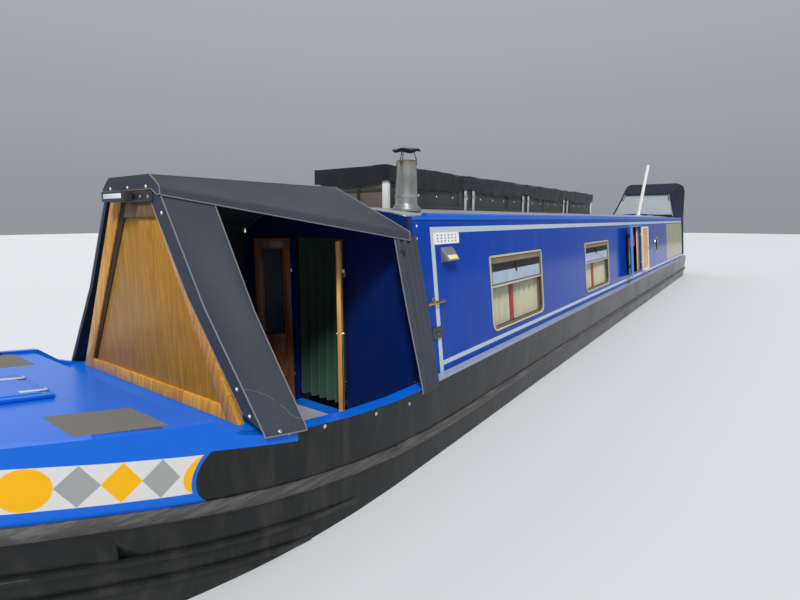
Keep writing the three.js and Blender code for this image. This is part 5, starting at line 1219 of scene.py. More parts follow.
def tarp_point(x, u, half_width):
    """Across the tarpaulin: u runs from the port edge, 0, over the top to the starboard edge, 1."""
    middle = sum(BOX_Y) / 2
    drop = tarp_drop(x)
    reach = half_width + drop
    s = (1 - 2 * u) * reach
    side = 1 if s > 0 else -1
    top = BOX_TOP + 0.012
    if abs(s) <= half_width:
        wave = 0.010 * noise(Vector((x * 3.1, s * 5.0, 0.0))) - 0.010 * math.cos(s / half_width * 1.5)
        return (x, middle + s, top + min(0.002, wave))
    down = abs(s) - half_width
    flare = 0.007 * noise(Vector((x * 7.0, side * 3.0, down * 9.0)))
    return (x, middle + side * (half_width + max(-0.001, flare) * min(1.0, down / 0.04)), top - 0.004 - down)


half_width = (BOX_Y[1] - BOX_Y[0]) / 2 + TARP_GROW
rows = [[tarp_point(x, u, half_width) for u in spread(0.0, 1.0, 34)]
        for x in spread(BOX_X[0] - TARP_GROW, BOX_X[1] + TARP_GROW, 220)]
tarp_parts = [cloth(rows, tarp, 0)]
for x, out in ((BOX_X[0] - TARP_GROW, -1), (BOX_X[1] + TARP_GROW, 1)):
    rows = []
    for share in spread(0.0, 1.0, 9):
        row = []
        for y in spread(BOX_Y[0] - TARP_GROW, BOX_Y[1] + TARP_GROW, 24):
            drop = 0.118 + 0.03 * math.sin(math.pi * (y - BOX_Y[0]) / (BOX_Y[1] - BOX_Y[0]))
            row.append((x + out * 0.004 * share * abs(noise(Vector((y * 7.0, share * 2.0, x)))), y,
                        BOX_TOP + 0.008 - share * drop))
        rows.append(row)
    tarp_parts.append(cloth(rows, tarp, 0))
tarpaulin = joined(tarp_parts)
modified(tarpaulin, "SOLIDIFY", thickness=0.0016, offset=0.0)
settle(tarpaulin, "roof_box_tarpaulin", "boat", smooth=55.0)
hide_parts("roof_box_cover")

strap_cloth = woven("grey_strap", (0.30, 0.32, 0.34), (0.48, 0.50, 0.52), 420.0)[0]
gear = []
for middle in STRAPS_X:
    for x in (middle - 0.085, middle + 0.085):
        for y in (BOX_Y[0] - TARP_GROW, BOX_Y[1] + TARP_GROW):
            out = -1 if y < 0 else 1
            webbing = bar((x - 0.025, y - out * 0.006, box_foot + 0.012), (x + 0.025, y - out * 0.003, 2.535),
                          0.0012)
            buckle = bar((x - 0.030, y - out * 0.007, 2.452), (x + 0.030, y + out * 0.001, 2.478), 0.002)
            gear += [painted(webbing, strap_cloth), painted(buckle, stainless)]
for x in spread(BOX_X[0] + 0.15, BOX_X[1] - 0.15, 20):
    gear.append(painted(standing_stud(0.008, (x, BOX_Y[1] + 0.0005, 2.44), (0, 1, 0)), white_enamel))
for x in spread(BOX_X[0] + 0.15, BOX_X[1] - 0.15, 20):
    gear.append(painted(standing_stud(0.008, (x, BOX_Y[0] - 0.0005, 2.44), (0, -1, 0)), white_enamel))
front_strap = bar((BOX_X[1] + 0.0006, -0.02, box_foot + 0.03), (BOX_X[1] + 0.0036, 0.01, 2.50), 0.001)
gear.append(painted(front_strap, rubber))
settle(joined(gear), "roof_box_straps", "boat")

# Chimney: stainless tube over a dark collar, blued by heat at the top, with a black hat on three stays and a
# latch on its aft side.
CHIMNEY = (5.525, 0.545)
heated, tree, shader, place = finish_of("heated_steel", (0.50, 0.49, 0.46), 0.24, 1.0)
height = node(tree, "ShaderNodeSeparateXYZ", {"Vector": place}).outputs["Z"]
tint = maths(tree, "MULTIPLY_ADD", height, 12.0, -30.9, clamp=True)
wear = shared(tree, "weathering", {"Place": place, "Scale": 14.0})
tint = maths(tree, "MULTIPLY", tint, maths(tree, "MULTIPLY_ADD", wear["Clouds"], 0.9, 0.35), clamp=True)
upright = node(tree, "ShaderNodeMapping", {"Vector": place, "Scale": (1.0, 1.0, 0.03)}).outputs["Vector"]
streak = node(tree, "ShaderNodeTexNoise", {"Vector": upright, "Scale": 26.0, "Detail": 1.0}).outputs["Fac"]
steel = over(tree, streak, (0.36, 0.35, 0.33, 1.0), (0.62, 0.61, 0.58, 1.0))
feed(tree, shader, Base_Color=over(tree, tint, steel, (0.26, 0.16, 0.09, 1.0)),
     Roughness=maths(tree, "MULTIPLY_ADD", wear["Clouds"], 0.25, 0.14))
soot = clouded("sooty_black", (0.016, 0.016, 0.017), 0.5, 12.0, ((0.012, 0.012, 0.013), (0.05, 0.045, 0.04)))
flue_place = Matrix.Translation((CHIMNEY[0], CHIMNEY[1], 0.0))
roof_here = surface("cabin_roof", (*CHIMNEY, 3.0), (0, 0, -1))[0].z
collar = turned([(0.080, roof_here - 0.006), (0.111, roof_here - 0.006), (0.111, 2.314), (0.107, 2.322),
                 (0.096, 2.326), (0.092, 2.340), (0.080, 2.342)], 40, flue_place)
flue = turned([(0.078, 2.330), (0.088, 2.330), (0.0895, 2.338), (0.087, 2.346), (0.0845, 2.354),
               (0.0795, 2.52), (0.0735, 2.645), (0.0755, 2.650), (0.0765, 2.656), (0.0755, 2.662),
               (0.071, 2.663), (0.069, 2.657), (0.074, 2.50), (0.078, 2.352)], 40, flue_place)
band = turned([(0.0845, 2.395), (0.0862, 2.395), (0.0852, 2.420), (0.0835, 2.420)], 40, flue_place)
HAT_RADIUS = 0.1045
hat = turned([(0.0, 2.7505), (0.020, 2.7515), (0.060, 2.747), (0.092, 2.7385), (HAT_RADIUS, 2.7355),
              (HAT_RADIUS, 2.7325), (0.090, 2.7325), (0.058, 2.740), (0.020, 2.7445), (0.0, 2.7435)], 48)
for vertex in hat.data.vertices:
    turn = math.atan2(vertex.co.y, vertex.co.x)
    reach = math.hypot(vertex.co.x, vertex.co.y) / HAT_RADIUS
    vertex.co.z += 0.006 * reach ** 3 * math.sin(5.0 * turn)
hat.data.transform(flue_place)
stays = []
for turn in (0.0, 120.0, 240.0):
    a = math.radians(turn)
    foot = [(r * math.cos(a) + CHIMNEY[0], r * math.sin(a) + CHIMNEY[1], z)
            for r, z in ((0.0745, 2.630), (0.074, 2.668), (0.060, 2.705), (0.056, 2.742))]
    stays.append(tube(foot, 0.0035, 8))
latch = [bar((CHIMNEY[0] - 0.104, CHIMNEY[1] - 0.010, 2.385), (CHIMNEY[0] - 0.080, CHIMNEY[1] + 0.010, 2.425),
             0.002),
         tube([(CHIMNEY[0] - 0.098, CHIMNEY[1], 2.43), (CHIMNEY[0] - 0.106, CHIMNEY[1], 2.40),
               (CHIMNEY[0] - 0.104, CHIMNEY[1], 2.36)], 0.004, 8)]
chimney = joined([painted(flue, heated), painted(band, stainless), painted(collar, steel_grey),
                  painted(hat, soot)]
                 + [painted(part, soot) for part in stays] + [painted(part, stainless) for part in latch])
settle(chimney, "chimney_flue", "boat", smooth=40.0)
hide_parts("chimney")

# Mast: a white painted pole that leans to port on a welded foot, with a cleat near its foot.
MAST_FOOT = (-4.5, 0.305)
MAST_LEAN = math.radians(6.3)
mast_place = Matrix.Translation((*MAST_FOOT, 2.30)) @ Matrix.Rotation(-MAST_LEAN, 4, "X")
pole = turned([(0.0, 0.018), (0.036, 0.018), (0.038, 0.06), (0.034, 0.08), (0.034, 1.165), (0.031, 1.19),
               (0.020, 1.198), (0.0, 1.20)], 24, mast_place)
cleat = [bar((-0.012, 0.032, 0.42), (0.012, 0.048, 0.47), 0.003),
         tube([(0.0, 0.050, 0.39), (0.0, 0.054, 0.42), (0.0, 0.054, 0.47), (0.0, 0.050, 0.50)], 0.007, 10)]
for part in cleat:
    part.data.transform(mast_place)
roof_at_mast = surface("cabin_roof", (*MAST_FOOT, 3.0), (0, 0, -1))[0].z
foot_plate = bar((MAST_FOOT[0] - 0.07, MAST_FOOT[1] - 0.07, roof_at_mast - 0.004),
                 (MAST_FOOT[0] + 0.07, MAST_FOOT[1] + 0.07, roof_at_mast + 0.008), 0.003)
bolts = [standing_stud(0.010, (MAST_FOOT[0] + dx, MAST_FOOT[1] + dy, roof_at_mast + 0.008), (0, 0, 1))
         for dx in (-0.05, 0.05) for dy in (-0.05, 0.05)]
mast = joined([painted(part, white_enamel) for part in [pole, foot_plate]]
              + [painted(part, stainless) for part in cleat + bolts])
settle(mast, "mast_pole", "boat")
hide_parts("mast")

# Cratch: a triangular frame of golden legs on the fore deck round a ply panel, with a top rail, and a plank
# from its head back to the cabin. A slim tunnel lamp is bracketed under the plank's end.
BOARD = {"x": 7.227, "thick": 0.035, "foot_half": 0.820, "top_half": 0.245, "shoulder": 2.330,
         "head_half": 0.205}
board_low, board_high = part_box("cratch_board")


def slab(outline, x, thick, round_off=0.003):
    """A board cut to an outline in y and z, its aft face at x."""
    mesh = bpy.data.meshes.new("slab")
    mesh.from_pydata([(x, y, z) for y, z in outline], [], [tuple(range(len(outline)))])
    made = bpy.data.objects.new("slab", mesh)
    bpy.context.scene.collection.objects.link(made)
    edit_where(made, "faces", lambda face: True)
    bpy.ops.mesh.normals_make_consistent(inside=False)
    bpy.ops.object.mode_set(mode="OBJECT")
    turned_back = made.data.polygons[0].normal.x < 0
    modified(made, "SOLIDIFY", thickness=thick, offset=-1.0 if turned_back else 1.0)
    return modified(made, "BEVEL", width=round_off, segments=2, limit_method="ANGLE",
                    angle_limit=math.radians(30))


def leg_half(z):
    share = (z - board_low.z) / (BOARD["shoulder"] - board_low.z)
    return BOARD["foot_half"] + (BOARD["top_half"] - BOARD["foot_half"]) * share


panel_ply = wooden("golden_ply", (0.29, 0.125, 0.010), (0.44, 0.215, 0.022), (0.0, 90.0, 0.0), gloss=0.36,
                   scale=11.0)
leg_pine = wooden("cratch_leg", (0.42, 0.17, 0.02), (0.72, 0.36, 0.06), (12.0, 90.0, 0.0), gloss=0.22)
# The near-black wood of the strips between each leg and the panel is painted shadow: it fills the shadow gap
# there.
painted_shadow_strip_wood = wooden("painted_shadow_edging", (0.018, 0.009, 0.004), (0.045, 0.024, 0.011), (0.0, 90.0, 0.0), gloss=0.5)
# The top rail's dark wood is partly painted shade: it stands for the shade that the lamp and the cover cast
# on the board's top. The plank under the cover takes the same dark wood.
dark_oak_and_painted_shade = wooden("dark_rail_and_painted_shade", (0.10, 0.05, 0.02), (0.22, 0.12, 0.05), gloss=0.35)
board_parts = []
foot, shoulder = board_low.z, BOARD["shoulder"]
for sign in (1, -1):
    leg_top = 0.060 if sign > 0 else 0.115
    leg = [(sign * leg_half(foot), foot), (sign * leg_half(shoulder), shoulder),
           (sign * (leg_half(shoulder) - leg_top), shoulder), (sign * (leg_half(foot) - 0.100), foot)]
    board_parts.append(painted(slab(leg, BOARD["x"], BOARD["thick"]), leg_pine))
    # The strip inside each leg is painted shadow, wider at the starboard leg where the shadow is wider.
    wide = (0.066, 0.115) if sign > 0 else (0.180, 0.125)
    edge = [(sign * (leg_half(foot) - 0.099), foot),
            (sign * (leg_half(shoulder) - leg_top + 0.001), shoulder),
            (sign * (leg_half(shoulder) - wide[0]), shoulder), (sign * (leg_half(foot) - wide[1]), foot)]
    board_parts.append(painted(slab(edge, BOARD["x"] + 0.004, BOARD["thick"] - 0.012, 0.002), painted_shadow_strip_wood))
inner_foot, inner_top = leg_half(foot + 0.07) - 0.085, leg_half(2.255) - 0.078
panel = [(inner_foot, foot + 0.05), (inner_top, 2.262), (-inner_top, 2.262), (-inner_foot, foot + 0.05)]
board_parts.append(painted(slab(panel, BOARD["x"] + 0.008, 0.012, 0.0015), panel_ply))
# The rail's dark colour is painted shade along the board's top, under the lamp and the cover.
rail = [(leg_half(shoulder) - 0.058, shoulder), (leg_half(2.25) - 0.062, 2.25),
        (-leg_half(2.25) + 0.178, 2.25),
        (-leg_half(shoulder) + 0.178, shoulder)]
board_parts.append(painted(slab(rail, BOARD["x"] + 0.002, BOARD["thick"] - 0.004), dark_oak_and_painted_shade))
head = [(BOARD["top_half"], shoulder), (BOARD["head_half"], board_high.z - 0.001),
        (-BOARD["head_half"], board_high.z - 0.001), (-BOARD["top_half"], shoulder)]
board_parts.append(painted(slab(head, BOARD["x"], BOARD["thick"]), leg_pine))
sill_half = leg_half(foot) - 0.098
sill = [(sill_half, foot), (sill_half - 0.02, foot + 0.07), (-sill_half + 0.02, foot + 0.07),
        (-sill_half, foot)]
board_parts.append(painted(slab(sill, BOARD["x"] + 0.002, BOARD["thick"] - 0.004), leg_pine))
board = settle(joined(board_parts), "cratch_board_frame", "boat")
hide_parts("cratch_board")
plank_low, plank_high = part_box("top_plank")
plank = bar((plank_low.x, plank_low.y, 2.425), (plank_high.x, plank_high.y, plank_high.z), 0.004)
block = bar((plank_low.x, -0.06, plank_low.z), (plank_low.x + 0.04, 0.06, 2.43), 0.003)
chamfers = [bar((plank_low.x + 0.05, y - 0.012, 2.4185), (plank_high.x - 0.05, y + 0.012, 2.4262), 0.003)
            for y in (-0.13, 0.13)]
plank = settle(joined([plank, block] + chamfers), "top_plank_board", "boat", dark_oak_and_painted_shade)
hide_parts("top_plank")

lens_white, tree, shader, place = finish_of("lamp_lens", (0.86, 0.88, 0.90), 0.12, Coat_Weight=0.5)
cells = node(tree, "ShaderNodeTexWave", {"Vector": place, "Scale": 22.0}, bands_direction="Y")
feed(tree, shader, Base_Color=over(tree, maths(tree, "GREATER_THAN", cells.outputs["Fac"], 0.9),
                                   (0.86, 0.88, 0.90, 1.0), (0.22, 0.23, 0.25, 1.0)))
front = BOARD["x"] + BOARD["thick"]
lamp = [painted(bar((front + 0.028, -0.176, 2.330), (front + 0.074, 0.072, 2.384), 0.005, 3), soot),
        painted(bar((front + 0.070, -0.148, 2.344), (front + 0.0765, 0.044, 2.370), 0.003), lens_white)]
for y in (-0.150, 0.046):
    lamp.append(painted(bar((front + 0.0004, y - 0.014, 2.332), (front + 0.005, y + 0.014, 2.376), 0.001),
                        soot))
    lamp.append(painted(bar((front + 0.002, y - 0.012, 2.350), (front + 0.032, y + 0.012, 2.356), 0.001),
                        soot))
lamp.append(painted(bar((front + 0.0004, 0.030, 2.326), (front + 0.012, 0.226, 2.380), 0.003), soot))
lamp += [painted(standing_stud(0.009, (front + 0.012, y, 2.352), (1, 0, 0)), stainless)
         for y in (0.110, 0.190)]
for z in (2.343, 2.353, 2.363, 2.373):
    lamp.append(painted(bar((front + 0.018, -0.160, z - 0.0015), (front + 0.030, 0.056, z + 0.0015), 0.0005),
                        soot))
settle(joined(lamp), "tunnel_lamp", "boat")

# Cratch cover: charcoal boat canvas with grey piping, laid over the plank and stretched down to the hull. The
# port side is rolled open between a fore flap, which wraps round the board, and a gathered aft flap.
CANVAS = (0.026, 0.031, 0.041)
CANVAS_FADED = (0.058, 0.069, 0.090)
CANVAS_THICK = 0.0022
canvas = woven("charcoal_canvas", CANVAS, CANVAS_FADED, 230.0, 0.7, 0.0)[0]
piping = woven("grey_piping", (0.13, 0.14, 0.15), (0.22, 0.23, 0.25), 300.0, 0.7, 0.0)[0]
COVER_X = (5.93, 7.2707)
CROWN = (0.215, 2.465)


def mix(a, b, t):
    return a + (b - a) * t


def cover_section(x):
    t = (x - COVER_X[0]) / (COVER_X[1] - COVER_X[0])
    return mix(0.865, 0.300, t), mix(2.160, 2.400, t), mix(2.100, 2.356, t)


def along_line(line, count):
    """Points evenly spread along a line of (y, z) points."""
    lengths = [0.0]
    for a, b in zip(line, line[1:]):
        lengths.append(lengths[-1] + math.dist(a, b))
    made = []
    for at in spread(0.0, lengths[-1], count):
        k = max(i for i, length in enumerate(lengths[:-1]) if length <= at + 1e-9)
        t = (at - lengths[k]) / (lengths[k + 1] - lengths[k])
        made.append((mix(line[k][0], line[k + 1][0], t), mix(line[k][1], line[k + 1][1], t)))
    return made


def cover_row(x, lift=0.0):
    """Across the cover from its port hem to its starboard hem."""
    half, shoulder, eave = cover_section(x)
    bay = math.sin(math.pi * (x - COVER_X[0]) / (COVER_X[1] - COVER_X[0]))
    skirt = along_line([(half - 0.004, eave), (half - 0.004, shoulder - 0.008)], 5)
    slope = []
    slant = along_line([(half - 0.006, shoulder - 0.003), (CROWN[0], CROWN[1] - 0.005)], 18)
    for i, (y, z) in enumerate(slant):
        t = i / (len(slant) - 1)
        sag = 0.010 * bay * math.sin(math.pi * t)
        crease = 0.0035 * noise(Vector((x * 4.0, y * 3.0, 2.0))) * math.sin(math.pi * t)
        slope.append((y, z - sag + crease))
    top = [(y, CROWN[1] - 0.004 + 0.0015 * noise(Vector((x * 5.0, y * 6.0, 7.0))))
           for y in spread(CROWN[0] - 0.010, 0.0, 6)]
    half_row = skirt + slope + top
    whole = half_row + [(-y, z) for y, z in reversed(half_row[:-1])]
    return [(x, y, z + lift) for y, z in whole]


rows = [cover_row(x) for x in spread(COVER_X[0], COVER_X[1] - 0.003, 44)]
sheet = cloth(rows, canvas, 0)
SKIRT = [(0.297, 2.358), (0.297, 2.398), (0.262, 2.425), (CROWN[0] - 0.004, CROWN[1] - 0.004)]
front_rows = []
for k, (half, z) in enumerate(along_line(SKIRT, 8)):
    lift = max(0.0, 0.030 - 0.010 * k)
    front_rows.append([(COVER_X[1] - 0.003, y, z + lift * min(1.0, max(0.0, (0.27 - abs(y)) / 0.05)))
                       for y in spread(-half, half, 24)])
cover = joined([sheet, cloth(front_rows, canvas, 0)])
modified(cover, "SOLIDIFY", thickness=CANVAS_THICK, offset=0.0)
settle(cover, "cratch_cover_canvas", "boat", smooth=50.0)
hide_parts("cratch_cover")

trims = []
for sign in (1, -1):
    hem = [(x, sign * (cover_section(x)[0] - 0.001), cover_section(x)[2] + 0.002)
           for x in spread(COVER_X[0] + 0.003, COVER_X[1] - 0.003, 24)]
    ridge = [(x, sign * (CROWN[0] + 0.002), CROWN[1] - 0.005)
             for x in spread(COVER_X[0], COVER_X[1] - 0.003, 24)]
    trims += [tube(hem, 0.0035, 8), tube(ridge, 0.0028, 8)]
    front_edge = [(COVER_X[1] - 0.001, sign * y, z) for y, z in (
        (0.299, 2.360), (0.299, 2.399), (0.263, 2.427), (0.217, 2.460))]
    trims.append(tube(front_edge, 0.0035, 8))
aft_edge = [(COVER_X[0] + 0.002, y, z + 0.001) for _, y, z in rows[0]]
trims.append(tube(aft_edge, 0.004, 8))
top_edge = [(COVER_X[1] - 0.001, y, z) for y, z in (
    (-0.298, 2.359), (-0.27, 2.359), (-0.22, 2.388), (0.22, 2.388), (0.27, 2.359), (0.298, 2.359))]
trims.append(tube(top_edge, 0.003, 8))
trims = [painted(part, piping) for part in trims]
trims += [painted(standing_stud(0.009, (COVER_X[1] - 0.0015, y, 2.402), (1, 0, 0)), white_enamel)
          for y in (-0.21, -0.02, 0.17)]
settle(joined(trims), "cratch_cover_piping", "boat")


def stations(name):
    """A curtain's mid line, (y, z) from its head down, at each of its places along the boat."""
    found = {}
    for vertex in frame["nodes"][name].data.vertices:
        x, y, z = vertex.co
        found.setdefault(round(x, 3), {}).setdefault(round(z, 3), set()).add(round(y, 4))
    return [(x, [(sum(found[x][z]) / len(found[x][z]), z) for z in sorted(found[x], reverse=True)])
            for x in sorted(found)]


def curtain_line(lines, x, count):
    """The curtain's line at x, between the stations on each side of it."""
    k = max(i for i, (at, _) in enumerate(lines[:-1]) if at <= x + 1e-6)
    (x0, below), (x1, above) = lines[k], lines[k + 1]
    t = (x - x0) / (x1 - x0)
    return along_line([(mix(a[0], b[0], t), mix(a[1], b[1], t)) for a, b in zip(below, above)], count)


def curtain_rows(name, places, count, fold):
    """Rows from head to hem across a curtain; fold(x, t) moves the cloth out by its folds."""
    lines = stations(name)
    columns = [curtain_line(lines, x, count) for x in places]
    sign = 1 if columns[0][0][0] > 0 else -1
    return [[(x, column[i][0] + sign * fold(x, i / (count - 1)), column[i][1])
             for x, column in zip(places, columns)] for i in range(count)]


AFT_HEM, FLAP_HEM, FORE_HEM = 5.852, 7.030, 7.2615
FLAP_WIDTH = 0.2315
DROP_ROWS = 46


def fore_fold(x, t):
    """The fore flap's soft folds, none at its edges."""
    share = min(1.0, max(0.0, (x - FLAP_HEM) / FLAP_WIDTH))
    swell = 0.016 * math.sin(math.tau * (share ** 0.8)) * math.sin(math.pi * min(1.0, 1.15 * t)) ** 2
    ripple = 0.020 * noise(Vector((x * 5.5, t * 2.6, 1.0)))
    return swell + ripple * math.sin(math.pi * t) * math.sin(math.pi * share)


flap_rows = curtain_rows("cratch_curtain_port_fore", spread(FLAP_HEM, FORE_HEM, 14), DROP_ROWS, fore_fold)
flap_parts = [cloth(flap_rows[:-2], canvas, 0)]
STRIP = 0.135
STRIP_Z = (1.300, 2.380)
BOARD_FACE = BOARD["x"] + BOARD["thick"] + CANVAS_THICK
for sign, node_name, width in ((1, "cratch_curtain_port_fore", STRIP),
                               (-1, "cratch_curtain_starboard", 0.035)):
    hem_line = curtain_line(stations(node_name), FORE_HEM, DROP_ROWS)
    edge_line = [(y, z) for y, z in hem_line if STRIP_Z[0] < z < STRIP_Z[1]]
    strip_rows = [[(BOARD_FACE, y - sign * width * s, z + 0.35 * width * s) for s in spread(0.0, 1.0, 7)]
                  for y, z in edge_line]
    strip = cloth(strip_rows, canvas, 0)
    if sign > 0:
        flap_parts.append(strip)
    else:
        starboard_strip = strip
flap = joined(flap_parts)
modified(flap, "SOLIDIFY", thickness=CANVAS_THICK, offset=0.0)
settle(flap, "cratch_flap_port_fore", "boat", smooth=50.0)
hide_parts("cratch_curtain_port_fore")

flap_trim = []
lines = stations("cratch_curtain_port_fore")
edge_line = curtain_line(lines, FORE_HEM, DROP_ROWS)
aft_line = curtain_line(lines, FLAP_HEM, DROP_ROWS)
flap_trim.append(tube([(7.264, y + 0.003, z) for y, z in edge_line[:-2]], 0.0038, 8))
flap_trim.append(tube([(FLAP_HEM, y + 0.002, z) for y, z in aft_line[:-2]], 0.0034, 8))
strip_edge = [(BOARD_FACE + 0.002, y - STRIP, z + 0.35 * STRIP) for y, z in edge_line
              if STRIP_Z[0] < z < STRIP_Z[1]]
flap_trim.append(tube(strip_edge, 0.0022, 8))
foot_edge = []
for x in spread(FLAP_HEM, 7.262, 10):
    y, z = curtain_line(lines, x, DROP_ROWS)[-3]
    foot_edge.append((x, y + 0.002, z + 0.002))
flap_trim.append(tube(foot_edge, 0.0034, 8))
seam = []
for x, z in ((7.255, 1.478), (7.20, 1.452), (7.155, 1.421), (7.125, 1.387), (7.10, 1.355), (7.083, 1.322),
             (7.06, 1.303), (7.034, 1.296)):
    place_at, out = surface("cratch_curtain_port_fore", (x, 2.0, z), (0.0, -1.0, 0.0))
    seam.append(place_at - Vector((0.0, 0.0015, 0.0)))
flap_trim.append(tube(seam, 0.0012, 6))
flap_trim = [painted(part, piping) for part in flap_trim]
for z in (2.27, 1.47, 1.36):
    y = next(y for y, at in curtain_line(lines, FORE_HEM, 200) if at < z)
    stud = standing_stud(0.009, (BOARD_FACE + 0.001, y - 0.05, z), (1, 0, 0))
    flap_trim.append(painted(stud, white_enamel))
place_at, out = surface("cratch_curtain_port_fore", (7.18, 2.0, 1.285), (0.0, -1.0, 0.0))
flap_trim.append(painted(standing_stud(0.011, place_at - 0.001 * out, out), stainless))
settle(joined(flap_trim), "cratch_flap_port_trim", "boat")


def gathered_fold(x, t):
    """The aft flap's close pleats, which ease a little towards the foot."""
    depth = 0.7 + 0.3 * math.sin(math.pi * min(1.0, t + 0.25))
    return 0.014 * math.sin((x - 5.85) * 125.0 + 2.0 * t) * depth


aft_rows = curtain_rows("cratch_curtain_port_aft", spread(AFT_HEM, 6.028, 56), 40, gathered_fold)
gathered = cloth(aft_rows, canvas, 0)
modified(gathered, "SOLIDIFY", thickness=CANVAS_THICK, offset=0.0)
settle(gathered, "cratch_flap_port_aft", "boat", smooth=60.0)
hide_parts("cratch_curtain_port_aft")
aft_edge = [(x + 0.001, y, z) for x, y, z in (row[-1] for row in aft_rows)]
aft_trim = [painted(tube(aft_edge, 0.0045, 8), piping)]
x, y, z = aft_rows[3][-8]
toggle = tube([(x - 0.02, y + 0.018, z - 0.03), (x + 0.02, y + 0.018, z - 0.02)], 0.006, 10)
aft_trim.append(painted(toggle, rubber))
settle(joined(aft_trim), "cratch_flap_aft_trim", "boat")


def starboard_fold(x, t):
    """The starboard curtain's faint waves, none at its head and foot."""
    return 0.004 * noise(Vector((x * 3.0, t * 5.0, 4.0))) * math.sin(math.pi * t)


starboard_rows = curtain_rows("cratch_curtain_starboard", spread(AFT_HEM, FORE_HEM, 60), DROP_ROWS,
                              starboard_fold)
starboard_curtain = joined([cloth(starboard_rows, canvas, 0), starboard_strip])
modified(starboard_curtain, "SOLIDIFY", thickness=CANVAS_THICK, offset=0.0)
settle(starboard_curtain, "cratch_curtain_starboard_canvas", "boat", smooth=50.0)
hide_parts("cratch_curtain_starboard")
lines = stations("cratch_curtain_starboard")
star_edge = [(7.264, y - 0.003, z) for y, z in curtain_line(lines, FORE_HEM, DROP_ROWS)]
star_trim = [tube(star_edge, 0.0045, 8)]
star_trim.append(tube([(row[30][0], row[30][1] - 0.003, row[30][2]) for row in starboard_rows], 0.003, 8))
star_trim.append(tube([(x, y - 0.002, z + 0.002) for x, y, z in starboard_rows[-1]], 0.004, 8))
settle(joined(star_trim), "cratch_curtain_starboard_trim", "boat", piping)

# Stern hood: navy boat canvas over stainless hoops, from the roof ahead of the hatch back to the stern. Its
# leaning front has a clear zipped window, and its sides have zips and small clear lights.
HOOD_FOOT = 2.286
HOOD_BEND = 2.950
HOOD_AFT_BEND = 3.270
HOOD_TOP = 3.290
HOOD_HEM = 1.205
HOOD_LEVELS = [HOOD_FOOT, 3.060, 3.200, 3.268, HOOD_TOP]
HOOD_AFT = [0.837, 0.815, 0.770, 0.660, 0.480]
HOOD_FORE = [0.837, 0.520, 0.480, 0.440, 0.400]
HOOD_RIDGE = [(-6.788, HOOD_FOOT), (-7.150, HOOD_BEND), (-8.100, HOOD_AFT_BEND), (-8.330, HOOD_TOP)]
HOOD_INSET = 0.0045

navy = woven("navy_canvas", (0.003, 0.006, 0.018), (0.008, 0.014, 0.036), 230.0, 0.75, 0.0)[0]
clear_vinyl, tree, shader, place = finish_of("clear_vinyl", (0.50, 0.56, 0.56), 0.08, Alpha=0.45, IOR=1.45)
buckled = node(tree, "ShaderNodeTexNoise", {"Vector": place, "Scale": 5.0, "Detail": 2.0})
feed(tree, shader, Normal=bumped(tree, buckled.outputs["Fac"], 0.6, 0.03))


def along_curve(points, z):
    """The value at a height along (value, height) points that rise."""
    for (v0, z0), (v1, z1) in zip(points, points[1:]):
        if z <= z1 + 1e-9:
            return mix(v0, v1, max(0.0, (z - z0) / (z1 - z0)))
    return points[-1][0]


def hood_half(x, z):
    """Half of the hood's width at a place along the boat and a height."""
    if z < HOOD_FOOT:
        return mix(0.937, 0.837, (z - 1.1) / (HOOD_FOOT - 1.1)) - HOOD_INSET
    t = min(1.0, max(0.0, (-6.780 - x) / 1.55))
    widths = [mix(a, b, t) for a, b in zip(HOOD_FORE, HOOD_AFT)]
    return along_curve(list(zip(widths, HOOD_LEVELS)), z) - HOOD_INSET


def hood_front(z):
    """Where the hood's front stands at a height."""
    return along_curve(HOOD_RIDGE, z) - 0.002


def hood_back(z):
    """Where the hood's back stands at a height."""
    return mix(-8.420, -8.330, (z - 1.2) / 2.09) + HOOD_INSET


def loose(u, v, seed, size):
    """How far cloth between its seams moves out, none at its edges."""
    return size * math.sin(math.pi * u) * math.sin(math.pi * v) * noise(Vector((u * 5.0, v * 4.0, seed)))


hood_parts = []
front_rows = []
for k, z in enumerate(spread(HOOD_FOOT + 0.004, HOOD_BEND, 20)):
    x = hood_front(z)
    half = hood_half(x, z)
    front_rows.append([(x + loose(k / 19, i / 29, 3.0, 0.008), half * (1 - 2 * i / 29), z)
                       for i in range(30)])
front = cloth(front_rows, navy, 0)
front.data.materials.append(clear_vinyl)
for face in front.data.polygons:
    x, y, z = face.center
    if 2.36 < z < 2.89 and abs(y) < hood_half(x, z) - 0.07:
        face.material_index = 1
hood_parts.append(front)
top_rows = []
for t in spread(0.0, 1.0, 30):
    if t < 0.8:
        x, z = mix(-7.152, -8.102, t / 0.8), mix(HOOD_BEND, HOOD_AFT_BEND, t / 0.8)
    else:
        last = (t - 0.8) / 0.2
        x, z = mix(-8.102, -8.330 + HOOD_INSET, last), mix(HOOD_AFT_BEND, HOOD_TOP - HOOD_INSET, last)
    half = hood_half(x, z)
    row = []
    for i in range(30):
        s = 1 - 2 * i / 29
        bow = 0.010 * math.sin(math.pi * t) * (1 - s * s)
        row.append((x, half * s, z - 0.004 - bow + loose(t, i / 29, 5.0, 0.006)))
    top_rows.append(row)
hood_parts.append(cloth(top_rows, navy, 0))
back_rows = []
for k, z in enumerate(spread(HOOD_TOP - HOOD_INSET, HOOD_HEM, 36)):
    x = hood_back(z)
    half = hood_half(x, z)
    back_rows.append([(x - loose(k / 35, i / 29, 9.0, 0.010), half * (1 - 2 * i / 29), z) for i in range(30)])
back = cloth(back_rows, navy, 0)
back.data.materials.append(clear_vinyl)
for face in back.data.polygons:
    if 2.30 < face.center.z < 2.86 and abs(face.center.y) < 0.50:
        face.material_index = 1
hood_parts.append(back)
side_levels = spread(HOOD_FOOT + 0.004, 3.060, 12)
side_levels += [3.11, 3.16, 3.200, 3.235, 3.268, HOOD_TOP - HOOD_INSET]
